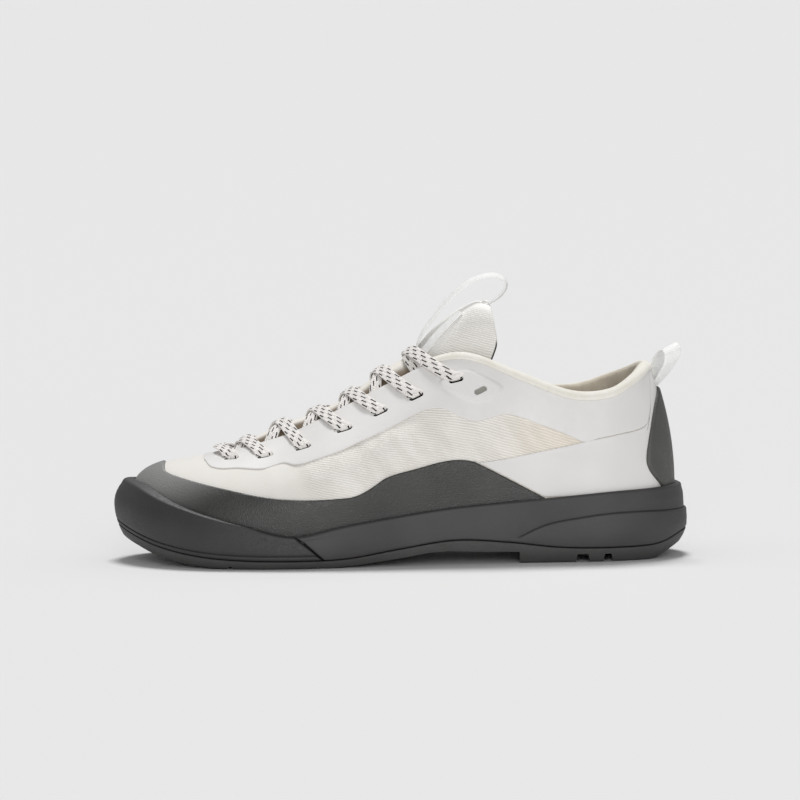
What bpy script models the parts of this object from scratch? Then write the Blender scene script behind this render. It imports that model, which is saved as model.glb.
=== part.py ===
"""A low trail shoe for the left foot, as the pieces that a maker puts together.

The shoe stands on its sole at z = 0. The toe points along -X, the outer (lateral) side faces -Y and
+Z is up. Sizes are in millimetres and are scaled to metres as each mesh is made. Along the shoe, places
are measured from the back of the heel (from_heel), and heights from the floor.
"""

import math

import bmesh
import bpy
import numpy as np
from mathutils import Vector

MM = 0.001

# Driving dimensions of the shoe
SHOE_LENGTH = 300.0
UPPER_WALL = 2.0
FILM_THICKNESS = 0.6
RAND_THICKNESS = 1.2
COUNTER_THICKNESS = 1.0
INSOLE_THICKNESS = 4.0
LACE_WIDTH = 7.0
LACE_THICKNESS = 2.2
SEAT_GAP = 0.3
LAYER_GAP = 0.45

# Layers outside the upper's own surface: film and rand lie on the upper, the counter lies on the film
FILM_IN = LAYER_GAP
FILM_OUT = FILM_IN + FILM_THICKNESS
RAND_IN = LAYER_GAP
RAND_OUT = RAND_IN + RAND_THICKNESS
COUNTER_IN = FILM_OUT + LAYER_GAP + 0.5
COUNTER_OUT = COUNTER_IN + COUNTER_THICKNESS


class Table:
    """A short table with named columns, one row for each section of the shoe."""

    def __init__(self, columns, rows):
        for name, values in zip(columns.split(), zip(*rows), strict=True):
            setattr(self, name, np.array(values, float))


# Sections of the sole from heel to toe: its widest line, the floor side, the line where outsole and
# midsole meet, the rim of the side wall, and how far the wall tucks in below and above its belly
SOLE = Table(
    "from_heel lateral medial bottom joint rim belly tuck_low tuck_high",
    [
        (0, 0, 0, 6.5, 14.3, 37.6, 0.37, 4.5, 3.2),
        (4, -17, 17, 5.0, 13.0, 37.6, 0.37, 4.5, 3.2),
        (17, -31.5, 31.5, 0.6, 8.4, 37.2, 0.38, 4.0, 3.0),
        (41, -39, 38.5, 0, 7.5, 36.2, 0.40, 3.0, 2.2),
        (68, -40, 37, 0, 8.2, 34.0, 0.42, 2.5, 1.8),
        (95, -40.2, 34.5, 0, 11.3, 31.8, 0.45, 2.5, 1.6),
        (122, -42, 33.5, 0, 12.8, 29.6, 0.48, 2.5, 1.6),
        (150, -46, 36.5, 0, 9.1, 26.0, 0.50, 2.5, 1.6),
        (178, -51.5, 43.5, 0, 4.9, 21.8, 0.52, 2.5, 1.4),
        (205, -54.5, 49.7, 0, 4.3, 16.9, 0.54, 2.5, 1.2),
        (231, -52.7, 52.3, 0.1, 4.7, 22.6, 0.55, 2.5, 1.6),
        (254, -46.3, 51, 1.0, 6.4, 28.2, 0.56, 2.8, 2.2),
        (275, -32.5, 44.5, 4.0, 10.0, 34.4, 0.57, 3.5, 3.2),
        (291, -13.5, 33.5, 9.0, 15.0, 40.4, 0.58, 4.5, 5.0),
        (300, 11, 11, 12.0, 19.0, 42.6, 0.58, 5.0, 5.8),
    ],
)

# The upper's lower edge, in the sole, from heel to toe. lean is the wall's angle outwards there, and
# pull is how far that direction holds, as a share of the wall's chord
FEATHER = Table(
    "from_heel lateral medial height lean pull",
    [
        (9, 0, 0, 22, 4, 0.40),
        (11.5, -12, 12, 22, 4, 0.40),
        (21, -25, 25, 22, 5, 0.38),
        (42, -32.5, 32, 21.7, 5, 0.36),
        (68, -33.5, 31, 21, 5, 0.36),
        (95, -34, 28.5, 20, 6, 0.38),
        (122, -36, 27.5, 18.5, 8, 0.42),
        (150, -40, 30.5, 16.5, 9, 0.46),
        (178, -45.5, 37.5, 14.3, 10, 0.48),
        (205, -48.5, 43.7, 12.8, 11, 0.46),
        (230, -46.5, 46, 12.6, 11, 0.44),
        (251, -39.5, 44, 13.5, 10, 0.45),
        (269, -26, 37.5, 16.6, 9, 0.47),
        (282.5, -9.5, 28.5, 20, 8, 0.49),
        (289.8, 10, 10, 22, 9, 0.51),
    ],
)

# The upper's top edge, round the collar and the throat, from heel to toe, with the inner side's height
# in a column of its own. lean is the wall's angle inwards as it arrives there
EDGE = Table(
    "from_heel lateral medial height medial_height lean pull",
    [
        (18.8, 0, 0, 97.0, 97.0, 18, 0.34),
        (20.6, -9, 9, 97.0, 97.0, 17, 0.34),
        (26.5, -20, 20, 92.5, 93.8, 12, 0.34),
        (40, -28.3, 28.3, 85.2, 88.6, 8, 0.34),
        (60, -30, 29.5, 84.6, 83.4, 9, 0.34),
        (86, -29, 28.5, 94.4, 86.5, 15, 0.34),
        (111, -25.5, 25.5, 104.6, 101.0, 25, 0.36),
        (129, -21, 21.5, 103.8, 103.6, 36, 0.38),
        (152, -17.5, 19, 93.4, 93.4, 46, 0.40),
        (180, -15, 18, 79.0, 79.0, 53, 0.42),
        (205, -12.5, 16.5, 66.9, 66.9, 60, 0.45),
        (224, -9.5, 14, 60.8, 60.8, 68, 0.50),
        (234, -5.5, 11, 58.0, 58.0, 74, 0.53),
        (237.8, -1, 7.5, 57.0, 57.0, 78, 0.54),
        (238.8, 3.3, 3.3, 56.7, 56.7, 79, 0.55),
    ],
)

# Outlines drawn on the upper in side view, the same on both sides
RAND_TOP = Table(
    "from_heel height",
    [
        (75, 33.2), (87, 39.6), (98, 45.5), (110, 52.0), (115, 53.8), (120, 54.2), (128, 53.4),
        (142, 50.0), (152, 47.6), (158, 45.4), (163, 42.0), (168, 39.0), (174, 36.6), (182, 35.8),
        (203, 35.6), (218, 36.7), (239, 40.4), (255, 43.4), (265, 45.7), (271, 47.5), (274.6, 49.6),
        (275.6, 56.0),
    ],
)
FILM_LOW = Table(
    "from_heel height",
    [
        (16, 72), (20, 69.6), (23.6, 68.3), (27.2, 67.2), (35, 65.8), (45.5, 63.9), (55.5, 62.2),
        (60, 64.3), (66.5, 67.2), (77, 71.3), (87.4, 75.3), (93.7, 76.9), (99.5, 76.2), (104.7, 74.5),
        (110, 73.7), (114, 74.4), (119, 76.7), (125, 79.8), (130.4, 80.8), (137, 79.4), (145, 75.8),
        (155.5, 70.5), (171, 63.7), (182, 58.9), (192, 55.7), (200, 53.3), (204.2, 52.7), (210, 53.4),
        (214, 52.3), (218.3, 50.9), (234, 50.5), (246, 50.3), (248.2, 50.8), (250.8, 52.9), (252.2, 54.7),
        (253, 60),
    ],
)
PANEL_TOP = Table(
    "from_heel height",
    [
        (16, 71.4), (20, 69.0), (23.6, 67.7), (27.2, 66.6), (35, 65.2), (45.5, 63.3), (55.5, 61.4),
        (64, 59.9), (72, 58.5), (87.4, 55.6), (98, 53.7), (107, 52.7), (112, 52.5), (120, 50.0),
    ],
)
COUNTER = Table(
    "height half_width",
    [
        (38.5, 21), (42, 24.5), (47, 26.5), (53, 26), (59, 24.5), (67, 21.5), (75, 17), (80, 13), (84, 8.5),
        (86, 4.5),
    ],
)
HEEL_INSERT = Table(
    "from_heel height",
    [(0, 24.6), (24.6, 25.5), (45.5, 24.7), (56, 23.3), (66.5, 21.7), (74.3, 19.9), (82, 16.8), (90, 12.6)],
)

# The tongue from its sewn end under the vamp to its free end: the crest line, half the width, how far
# the sides wrap back, the tilt of that wrap above the horizontal, and the padding
TONGUE = Table(
    "from_heel height half_width wrap tilt thickness",
    [
        (249, 51.6, 7, 1.0, 78, 1.4),
        (240, 53.0, 8.5, 2.2, 76, 1.8),
        (230, 61.4, 10.5, 8.0, 68, 2.6),
        (211, 70.2, 13.5, 10.0, 63, 3.4),
        (192, 76.8, 16, 10.5, 61, 3.8),
        (175, 85.8, 17, 12, 57, 4.2),
        (159, 97.0, 17.8, 18, 44, 4.6),
        (143.5, 106.8, 18.5, 34, 24, 5.0),
        (132.5, 118.6, 19, 32.5, 16, 5.5),
        (121.5, 127.8, 18, 21, 14, 5.5),
        (113, 133.6, 13, 10, 12, 4.5),
    ],
)
TONGUE_ARC_DEG = 75.0

# Lace: the eyelets' places in side view, from the lowest pair up, and the crossings' places on the crest
EYELETS = Table(
    "from_heel height",
    [
        (237.2, 54.4), (219.4, 56.0), (199.5, 60.5), (178.0, 69.6), (159.2, 78.3), (140.6, 86.3),
        (119.9, 94.4),
    ],
)
LACE = Table(
    "crest forward share",
    [
        (242, 0, 0), (230.4, 2.5, 0.45), (211, 5, 0.5), (192.1, 5, 0.5), (174.9, 5, 0.5), (159.2, 5, 0.5),
        (143.5, 5, 0.5),
    ],
)

# Pull loops: centre lines in side view
TONGUE_TAB = (138.0, 118.5)
TONGUE_LOOP = Table(
    "from_heel height",
    [
        (137.2, 117.2), (133.6, 122.2), (129.3, 127.6), (124.1, 133.9), (117.8, 139.8), (111.0, 144.3),
        (105.0, 146.4), (99.3, 146.6), (96.0, 144.4), (95.2, 141.0), (96.8, 137.6), (100.4, 134.4),
        (104.6, 132.2), (108.7, 131.0),
    ],
)
HEEL_LOOP = Table(
    "from_heel height",
    [
        (13.0, 87.0), (14.4, 91.5), (16.0, 96.0), (16.8, 100.5), (15.9, 104.6), (13.2, 107.8), (9.4, 109.6),
        (6.2, 109.4), (4.4, 106.6), (4.8, 102.6), (7.2, 98.0), (10.2, 93.2), (11.3, 87.4),
    ],
)
TONGUE_LOOP_WIDTH = 5.0
TONGUE_TAB_WIDTH = 8.0
HEEL_LOOP_WIDTH = 10.0
WEBBING = 1.2

ROWS = len(SOLE.from_heel)
TOE = ROWS - 1
LOOP = 2 * TOE


def ring(lateral, medial):
    """Values at the sections round the shoe: heel to toe on the outer side, then back on the inner side."""
    return np.concatenate([lateral, medial[TOE - 1 : 0 : -1]])


def around(values, s):
    """A smooth closed curve through the sections' values, at s counted in sections from the heel."""
    s = np.asarray(s, float)
    i = np.floor(s).astype(int)
    f = s - i
    a, b, c, d = (values[(i + k) % LOOP] for k in (-1, 0, 1, 2))
    return b + 0.5 * f * (c - a + f * (2 * a - 5 * b + 4 * c - d + f * (3 * (b - c) + d - a)))


def along(xs, ys, x):
    """A smooth curve through a table's points, held level beyond its ends."""
    x = np.clip(np.asarray(x, float), xs[0], xs[-1])
    slope = np.gradient(ys, xs)
    i = np.clip(np.searchsorted(xs, x, side="right") - 1, 0, len(xs) - 2)
    h = xs[i + 1] - xs[i]
    f = (x - xs[i]) / h
    start = ys[i] * (1 + 2 * f) * (1 - f) ** 2 + slope[i] * h * f * (1 - f) ** 2
    return start + ys[i + 1] * (3 - 2 * f) * f**2 + slope[i + 1] * h * (f - 1) * f**2


def path(points, count):
    """count points evenly along a smooth open curve through the given points."""
    points = np.asarray(points, float)
    reach = np.concatenate([[0], np.cumsum(np.linalg.norm(np.diff(points, axis=0), axis=1))])
    at = np.linspace(0, reach[-1], count)
    return np.stack([along(reach, points[:, k], at) for k in range(points.shape[1])], axis=1)


def unit(v):
    return v / np.linalg.norm(v, axis=-1, keepdims=True)


def place(from_heel, y, z):
    """Shoe places as x, y, z, with the shoe's middle over the origin."""
    return np.stack(np.broadcast_arrays(SHOE_LENGTH / 2 - np.asarray(from_heel), y - MID_Y, z), axis=-1)


SOLE_U = ring(SOLE.from_heel, SOLE.from_heel)
SOLE_Y = ring(SOLE.lateral, SOLE.medial)
_SWEEP = around(SOLE_Y, np.linspace(0, LOOP, 2000))
MID_Y = (_SWEEP.min() + _SWEEP.max()) / 2
FEATHER_U = ring(FEATHER.from_heel, FEATHER.from_heel)
FEATHER_Y = ring(FEATHER.lateral, FEATHER.medial)
EDGE_U = ring(EDGE.from_heel, EDGE.from_heel)
EDGE_Y = ring(EDGE.lateral, EDGE.medial)
EDGE_Z = ring(EDGE.height, EDGE.medial_height)


def same(column):
    """A column that both sides share, round the shoe."""
    return ring(column, column)


def outward(us, ys, s):
    """The level direction out of a plan curve, as x and y."""
    step = 0.01
    du = around(us, s + step) - around(us, s - step)
    dy = around(ys, s + step) - around(ys, s - step)
    return unit(np.stack([-dy, -du, np.zeros_like(du)], axis=-1))


# The upper's surface: s runs round the shoe, t from the feather edge (0) to the top edge (1)
def upper_surface(s, t):
    s, t = np.broadcast_arrays(np.asarray(s, float), np.asarray(t, float))
    foot = place(around(FEATHER_U, s), around(FEATHER_Y, s), around(same(FEATHER.height), s))
    top = place(around(EDGE_U, s), around(EDGE_Y, s), around(EDGE_Z, s))
    out = outward(FEATHER_U, FEATHER_Y, s)
    up = np.array([0.0, 0.0, 1.0])
    chord = np.linalg.norm(top - foot, axis=-1)

    def handle(table, sign):
        lean = np.radians(around(same(table.lean), s))[..., None]
        pull = (around(same(table.pull), s) * chord)[..., None]
        return pull * (np.cos(lean) * up + sign * np.sin(lean) * out)

    t = t[..., None]
    first = foot + handle(FEATHER, 1)
    last = top - handle(EDGE, -1)
    return (1 - t) ** 3 * foot + 3 * t * (1 - t) ** 2 * first + 3 * t**2 * (1 - t) * last + t**3 * top


def upper_normal(s, t):
    step = 0.004
    along_s = upper_surface(s + step, t) - upper_surface(s - step, t)
    along_t = upper_surface(s, t + step) - upper_surface(s, t - step)
    return unit(np.cross(along_t, along_s))


def upper_point(s, t, out=0.0):
    """A point at a distance out of the upper's outer surface."""
    s, t = np.broadcast_arrays(np.asarray(s, float), np.asarray(t, float))
    return upper_surface(s, t) + np.asarray(out, float)[..., None] * upper_normal(s, t)


T_STEPS = np.linspace(0, 1, 241)


def first_true(flags):
    return int(np.argmax(flags)) if flags.any() else len(flags) - 1


def t_at_height(s, z):
    """Where the wall at s reaches a height."""
    s, z = np.broadcast_arrays(np.asarray(s, float), np.asarray(z, float))
    found = [
        np.interp(height, np.maximum.accumulate(upper_surface(place_s, T_STEPS)[:, 2]), T_STEPS)
        for place_s, height in zip(s.ravel(), z.ravel())
    ]
    return np.array(found).reshape(s.shape)


def t_at_outline(s, outline):
    """Where the wall at each s crosses an outline that is drawn in side view."""
    found = []
    for place_s in np.ravel(s):
        points = upper_surface(place_s, T_STEPS)
        over = points[:, 2] - along(outline.from_heel, outline.height, SHOE_LENGTH / 2 - points[:, 0])
        i = first_true(over > 0)
        share = over[i] / (over[i] - over[i - 1]) if i and over[i] > 0 else 0.0
        found.append(T_STEPS[i] - share * T_STEPS[1])
    return np.array(found)


def s_at_place(from_heel, height, medial=False):
    """Where a wall point with this side-view place lies round the shoe."""
    steps = np.linspace(0.05, TOE - 0.05, 280)
    if medial:
        steps = LOOP - steps
    points = upper_surface(steps, t_at_height(steps, height))
    return float(np.interp(from_heel, np.maximum.accumulate(SHOE_LENGTH / 2 - points[:, 0]), steps))


def s_at_sole(from_heel):
    """Where the sole's widest line has this place, on the outer side."""
    steps = np.linspace(0, TOE, 600)
    return np.interp(from_heel, np.maximum.accumulate(around(SOLE_U, steps)), steps)


# Meshes
def material(name, colour, roughness):
    made = bpy.data.materials.new(name)
    made.use_nodes = True
    shader = made.node_tree.nodes["Principled BSDF"]
    shader.inputs["Base Color"].default_value = (*colour, 1.0)
    shader.inputs["Roughness"].default_value = roughness
    shader.inputs["Metallic"].default_value = 0.0
    return made


RUBBER = material("dark_rubber", (0.045, 0.045, 0.044), 0.6)
FOAM = material("dark_foam", (0.06, 0.06, 0.06), 0.7)
MESH = material("cream_mesh", (0.74, 0.72, 0.67), 0.85)
FILM = material("white_film", (0.76, 0.75, 0.74), 0.45)
KNIT = material("white_knit", (0.72, 0.71, 0.67), 0.9)
LINING = material("cream_lining", (0.78, 0.76, 0.70), 0.9)
BRAID = material("flecked_braid", (0.78, 0.76, 0.74), 0.85)
TAPE = material("white_tape", (0.85, 0.85, 0.83), 0.7)


def solid(name, points, faces, finish, sharp_deg=40.0):
    """One closed body from points in millimetres, faces turned out and shaded smooth."""
    mesh = bpy.data.meshes.new(name)
    mesh.from_pydata([Vector(p) * MM for p in points], [], faces)
    shaped = bmesh.new()
    shaped.from_mesh(mesh)
    bmesh.ops.recalc_face_normals(shaped, faces=shaped.faces)
    shaped.to_mesh(mesh)
    shaped.free()
    mesh.shade_smooth()
    mesh.set_sharp_from_angle(angle=math.radians(sharp_deg))
    mesh.materials.append(finish)
    made = bpy.data.objects.new(name, mesh)
    bpy.context.scene.collection.objects.link(made)
    return made


def bands(loops, columns, closed_rows, closed_columns):
    """Quads between neighbouring loops of points that are numbered loop by loop."""
    faces = []
    for j in range(loops if closed_rows else loops - 1):
        for i in range(columns if closed_columns else columns - 1):
            k, m = (j + 1) % loops, (i + 1) % columns
            faces.append((j * columns + i, j * columns + m, k * columns + m, k * columns + i))
    return faces


def ladder(first, columns):
    """A cap across a loop: rungs join each outer-side point to its fellow on the inner side."""
    half = columns // 2
    faces = [(first, first + 1, first + columns - 1), (first + half - 1, first + half, first + half + 1)]
    for i in range(1, half - 1):
        faces.append((first + i, first + i + 1, first + columns - i - 1, first + columns - i))
    return faces


def tube_ring(name, loops, finish):
    """A body closed both ways, such as a wall that runs round the shoe."""
    grid = np.array(loops)
    return solid(name, grid.reshape(-1, 3), bands(*grid.shape[:2], True, True), finish)


def capped_ring(name, loops, finish):
    """A body whose first and last loops are closed by rungs across the shoe."""
    grid = np.array(loops)
    count, columns = grid.shape[:2]
    faces = bands(count, columns, False, True) + ladder(0, columns) + ladder((count - 1) * columns, columns)
    return solid(name, grid.reshape(-1, 3), faces, finish)


def sweep(name, sections, finish):
    """A body with a closed section at each place along it and flat ends."""
    grid = np.array(sections)
    count, sides = grid.shape[:2]
    faces = bands(count, sides, False, True)
    faces += [tuple(range(sides)), tuple(range((count - 1) * sides, count * sides))]
    return solid(name, grid.reshape(-1, 3), faces, finish)


def shell(name, inner, outer, finish):
    """A body between two like grids of points, such as a panel's inner and outer face."""
    rows, columns = inner.shape[:2]
    edge = [(0, i) for i in range(columns)] + [(j, columns - 1) for j in range(1, rows)]
    edge += [(rows - 1, i) for i in range(columns - 2, -1, -1)] + [(j, 0) for j in range(rows - 2, 0, -1)]
    rim = [j * columns + i for j, i in edge]
    half = rows * columns
    faces = bands(rows, columns, False, False)
    faces += [tuple(half + k for k in reversed(face)) for face in faces]
    faces += [(rim[k - 1], rim[k], half + rim[k], half + rim[k - 1]) for k in range(len(rim))]
    return solid(name, np.concatenate([inner.reshape(-1, 3), outer.reshape(-1, 3)]), faces, finish)


def ribbon(name, centre, width_way, width, thickness, finish):
    """A flat tape along a line of points, with width_way as the direction across it at each point."""
    centre = np.asarray(centre, float)
    ahead = unit(np.gradient(centre, axis=0))
    across = unit(width_way - (width_way * ahead).sum(-1, keepdims=True) * ahead)
    over = np.cross(ahead, across)
    corners = [(-0.5, -0.5), (0.5, -0.5), (0.5, 0.5), (-0.5, 0.5)]
    sections = [
        [middle + a * width * side + b * thickness * up for a, b in corners]
        for middle, side, up in zip(centre, across, over)
    ]
    return sweep(name, sections, finish)


def cutter(name, points, faces):
    """A helper that a Boolean takes away, left out of the shoe."""
    made = solid(name, points, faces, RUBBER)
    made.hide_render = True
    made.display_type = "WIRE"
    return made


def prism(name, outline, low_y, high_y):
    """A cutter with an outline in side view, from one y to another."""
    count = len(outline)
    points = [place(u, y, z) for y in (low_y, high_y) for u, z in outline]
    faces = [tuple(range(count)), tuple(range(count, 2 * count))]
    faces += [(i, (i + 1) % count, count + (i + 1) % count, count + i) for i in range(count)]
    return cutter(name, points, faces)


def join(target, other, operation):
    step = target.modifiers.new(f"{operation.lower()}_{other.name}", "BOOLEAN")
    step.operation = operation
    step.object = other


# Upper: one hollow wall, open at the collar and throat and underneath
COLUMNS = 60
UPPER_ROWS = 9
COLUMN_S = np.linspace(0, LOOP, COLUMNS, endpoint=False)


def make_upper():
    outer = [upper_point(COLUMN_S, t) for t in np.linspace(0, 1, UPPER_ROWS)]
    inner = [upper_point(COLUMN_S, t, -UPPER_WALL) for t in np.linspace(1, 0, UPPER_ROWS)]
    for loop in inner[-2:]:
        loop[:, 2] = np.maximum(loop[:, 2], outer[0][:, 2])
    return tube_ring("upper", outer + inner, MESH)


def patch(name, s, low, high, rows, inside, outside, finish):
    """A panel on the upper: at each s it runs from t = low to t = high, between two offsets."""
    share = np.linspace(0, 1, rows)[:, None]
    t = low + share * (np.maximum(high, low + 0.01) - low)
    s = np.broadcast_to(s, t.shape)
    return shell(name, upper_point(s, t, inside), upper_point(s, t, outside), finish)


TUCK_BELOW_RIM = 4.0


def t_behind_rim(s):
    """Where a panel's lower edge ends, hidden behind the rim of the sole."""
    rim = around(same(SOLE.rim), s)
    feather = around(same(FEATHER.height), s)
    return t_at_height(s, np.maximum(rim - TUCK_BELOW_RIM, feather + 1.0))


def make_rand():
    start = s_at_place(RAND_TOP.from_heel[0], RAND_TOP.height[0])
    s = np.linspace(start, LOOP - start, 55)
    patch("rand", s, t_behind_rim(s), t_at_outline(s, RAND_TOP), 5, RAND_IN, RAND_OUT, RUBBER)


SEAM_S = 1.05
SEAM_SPLIT = 0.03


def make_film_quarters():
    s = np.linspace(SEAM_S + SEAM_SPLIT, LOOP - SEAM_S - SEAM_SPLIT, 65)
    patch("quarter_film", s, t_at_outline(s, FILM_LOW), np.full(len(s), 0.995), 4, FILM_IN, FILM_OUT, FILM)


RAND_MARGIN = 0.9
PANEL_GAP = 0.15


def make_heel_panel():
    end = s_at_place(PANEL_TOP.from_heel[-2], PANEL_TOP.height[-2] - 1.0)
    side = np.concatenate([np.linspace(end, SEAM_S, 14), np.linspace(SEAM_S - SEAM_SPLIT, 0, 5)])
    s = np.concatenate([side, -side[-2::-1]])
    over_rand = [(u, z + RAND_MARGIN) for u, z in zip(RAND_TOP.from_heel, RAND_TOP.height)]
    rand_top = Table("from_heel height", over_rand)
    low = np.maximum(t_behind_rim(s), np.where(np.abs(s) > 3.0, t_at_outline(s, rand_top), 0))
    high = np.where(np.abs(s) < SEAM_S - SEAM_SPLIT / 2, 0.995, t_at_outline(s, PANEL_TOP))
    patch("heel_panel", s, low, high, 6, FILM_IN + PANEL_GAP, FILM_OUT + PANEL_GAP - 0.05, FILM)


def make_heel_counter():
    columns = np.linspace(-1, 1, 11)
    steps = np.linspace(0, 3, 160)
    rows_s, rows_t = [], []
    for height, half_width in zip(COUNTER.height, COUNTER.half_width):
        y = np.abs(upper_surface(steps, t_at_height(steps, height))[:, 1] + MID_Y)
        half = np.interp(half_width, np.maximum.accumulate(y), steps)
        rows_s.append(columns * half)
        rows_t.append(t_at_height(columns * half, height))
    s, t = np.array(rows_s), np.array(rows_t)
    shell("heel_counter", upper_point(s, t, COUNTER_IN), upper_point(s, t, COUNTER_OUT), RUBBER)


# Sole: outsole, midsole and toe bumper
SPLIT_LOW = 189.5
SPLIT_HIGH = 204.2
REAR_STEPS = 18
FRONT_STEPS = 10
SPLIT_STEP = 0.02
CUP_CLEARANCE = 0.7
TOE_CLEARANCE = 0.6
ARCH = [
    (88, -2), (88.5, 6.1), (110, 6.5), (124, 7.2), (134, 6.9), (151, 4.1), (170, 1.7), (186, 0.3), (192, -2),
]
# Grooves across the heel block: back and front in side view, and how far they reach to both sides
HEEL_GROOVES = [(39.8, 45.5, -90, 90), (51.8, 59.7, -90, 90), (70.0, 75.0, -22, 20)]
HEEL_GROOVE_DEPTH = 4.3
HEEL_CHANNEL_DEPTH = 2.8
# Grooves between the forefoot lugs: where each starts, and how far it reaches on the two sides
FOREFOOT_GROOVES = (171, 187, 203, 219, 235)
FOREFOOT_GROOVE = 6.0
FOREFOOT_DEPTH = 2.6
OUTER_LUGS = (-37, -6)
INNER_LUGS = (4, 36)
OUTER_SHIFT = 3.0
BELOW_FLOOR = -1.0


def split_s(height_of):
    """Where the slanting joint of midsole and toe bumper passes, at the height that a row has there."""
    s = s_at_sole(0.5 * (SPLIT_LOW + SPLIT_HIGH))
    joint, rim = around(same(SOLE.joint), s), around(same(SOLE.rim), s)
    level = np.clip((height_of(s, joint, rim) - joint) / (rim - joint), 0, 1)
    return float(s_at_sole(SPLIT_LOW + level * (SPLIT_HIGH - SPLIT_LOW)))


def sole_wall(s, z, inset=0.0):
    """A point of the sole's side wall, taken in from its widest line."""
    bottom = around(same(SOLE.bottom), s)
    h = np.clip((z - bottom) / (around(same(SOLE.rim), s) - bottom), 0, 1)
    belly = around(same(SOLE.belly), s)
    low = around(same(SOLE.tuck_low), s) * np.clip((belly - h) / belly, 0, 1) ** 2
    high = around(same(SOLE.tuck_high), s) * np.clip((h - belly) / (1 - belly), 0, 1) ** 2
    base = place(around(SOLE_U, s), around(SOLE_Y, s), z)
    return base - (low + high + inset)[..., None] * outward(SOLE_U, SOLE_Y, s)


def cup_offset(s):
    """How far the sole's cup stands off the upper: clear of the rand in front, of the film at the heel."""
    section = np.minimum(s, LOOP - s)
    share = np.clip((section - 2.6) / 1.2, 0, 1)
    round_toe = np.clip((section - 11) / 1.5, 0, 1)
    return CUP_CLEARANCE + FILM_OUT + (RAND_OUT - FILM_OUT) * share + TOE_CLEARANCE * round_toe


def cup_wall(s, z, more=0.0):
    """A point of the cup's inner wall round the upper; below the upper it drops straight down."""
    z = np.broadcast_to(np.asarray(z, float), np.shape(s))
    feather = around(same(FEATHER.height), s)
    point = upper_point(s, t_at_height(s, np.maximum(z, feather)), cup_offset(s) + more)
    point[..., 2] = z
    return point


def both_sides(lateral_s):
    return np.concatenate([lateral_s, LOOP - lateral_s[-2:0:-1]])


def floor_line(s):
    return np.maximum(around(same(SOLE.bottom), s), 0.0)


def groove(back, front, depth, flank):
    """A groove's outline in side view, with sloping flanks."""
    return [(back, BELOW_FLOOR), (back + flank, depth), (front - flank, depth), (front, BELOW_FLOOR)]


def make_outsole():
    s = both_sides(np.linspace(0, TOE, REAR_STEPS + FRONT_STEPS + 1))
    low = floor_line(s)
    joint = around(same(SOLE.joint), s)
    zero = np.zeros_like(s)
    loops = [
        sole_wall(s, low, zero + 1.2),
        sole_wall(s, low + 1.2, zero),
        sole_wall(s, joint - 0.9, zero),
        sole_wall(s, joint - LAYER_GAP, zero + 0.7),
    ]
    outsole = capped_ring("outsole", loops, RUBBER)

    def cut(name, outline, low_y, high_y):
        join(outsole, prism(name, outline, low_y, high_y), "DIFFERENCE")

    cut("arch_cut", ARCH, -90, 90)
    for i, (back, front, low_y, high_y) in enumerate(HEEL_GROOVES):
        cut(f"heel_groove_{i}", groove(back, front, HEEL_GROOVE_DEPTH, 1.5), low_y, high_y)
    cut("heel_channel", groove(30, 87, HEEL_CHANNEL_DEPTH, 1.0), -4.5, 4.5)
    for i, back in enumerate(FOREFOOT_GROOVES):
        for side, shift, reach in (("outer", OUTER_SHIFT, OUTER_LUGS), ("inner", 0.0, INNER_LUGS)):
            start = back + shift
            cut(f"tread_{side}_{i}", groove(start, start + FOREFOOT_GROOVE, FOREFOOT_DEPTH, 1.0), *reach)
    cut("tread_channel", groove(168, 248, FOREFOOT_DEPTH, 1.0), -3.5, 1.5)


def sole_columns(at):
    """Columns round the sole: behind the slanting joint, then in front of it."""
    rear = at * np.linspace(0, 1, REAR_STEPS + 1) ** 1.25
    front = np.linspace(at + 1.5 * SPLIT_STEP, TOE, FRONT_STEPS + 1)
    s = both_sides(np.concatenate([rear, [at + SPLIT_STEP], front]))
    number = np.arange(len(s))
    return s, np.minimum(number, len(s) - number) - REAR_STEPS


INSERT_STEP = 0.9
CORE_INSET = 0.6
CORE_STEP = 0.08
CORE_LOOPS = 9


def make_midsole():
    loops = []

    def loop(height_of, wall_of):
        """One loop: behind the joint it follows wall_of at height_of, in front it is the core underfoot."""
        s, ahead = sole_columns(split_s(height_of))
        joint, rim = around(same(SOLE.joint), s), around(same(SOLE.rim), s)
        rear_z = height_of(s, joint, rim)
        core_z = np.minimum(rear_z, footbed(s) - CORE_STEP * (CORE_LOOPS - len(loops)))
        ahead = ahead[:, None]
        core = np.where(ahead > 1, cup_wall(s, core_z, -CORE_INSET), cup_wall(s, rear_z, -0.5 * CORE_INSET))
        loops.append(np.where(ahead > 0, core, wall_of(s, rear_z)))

    def insert(s):
        return along(HEEL_INSERT.from_heel, HEEL_INSERT.height, around(SOLE_U, s))

    def step(s):
        return INSERT_STEP * np.clip((88 - around(SOLE_U, s)) / 12, 0, 1)

    def footbed(s):
        return around(same(FEATHER.height), s) - SEAT_GAP

    def wall(inset):
        return lambda s, z: sole_wall(s, z, inset + 0 * s)

    loop(lambda s, j, r: j, wall(0.5))
    loop(lambda s, j, r: j + 0.8, wall(0.0))
    loop(lambda s, j, r: np.maximum(insert(s) - 0.3, j + 2.0), wall(0.0))
    loop(lambda s, j, r: np.maximum(insert(s) + 0.3, j + 3.0), lambda s, z: sole_wall(s, z, step(s)))
    loop(lambda s, j, r: 0.5 * (np.maximum(insert(s), j + 3) + r), lambda s, z: sole_wall(s, z, step(s) / 2))
    loop(lambda s, j, r: r - 1.0, wall(0.0))
    loop(lambda s, j, r: r, wall(0.9))
    loop(lambda s, j, r: r, cup_wall)
    loop(lambda s, j, r: 0.5 * (r + footbed(s)), cup_wall)
    loop(lambda s, j, r: footbed(s), cup_wall)
    capped_ring("midsole", loops, FOAM)


RIB_HEIGHT = 2.3
GROOVE = 0.8


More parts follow.
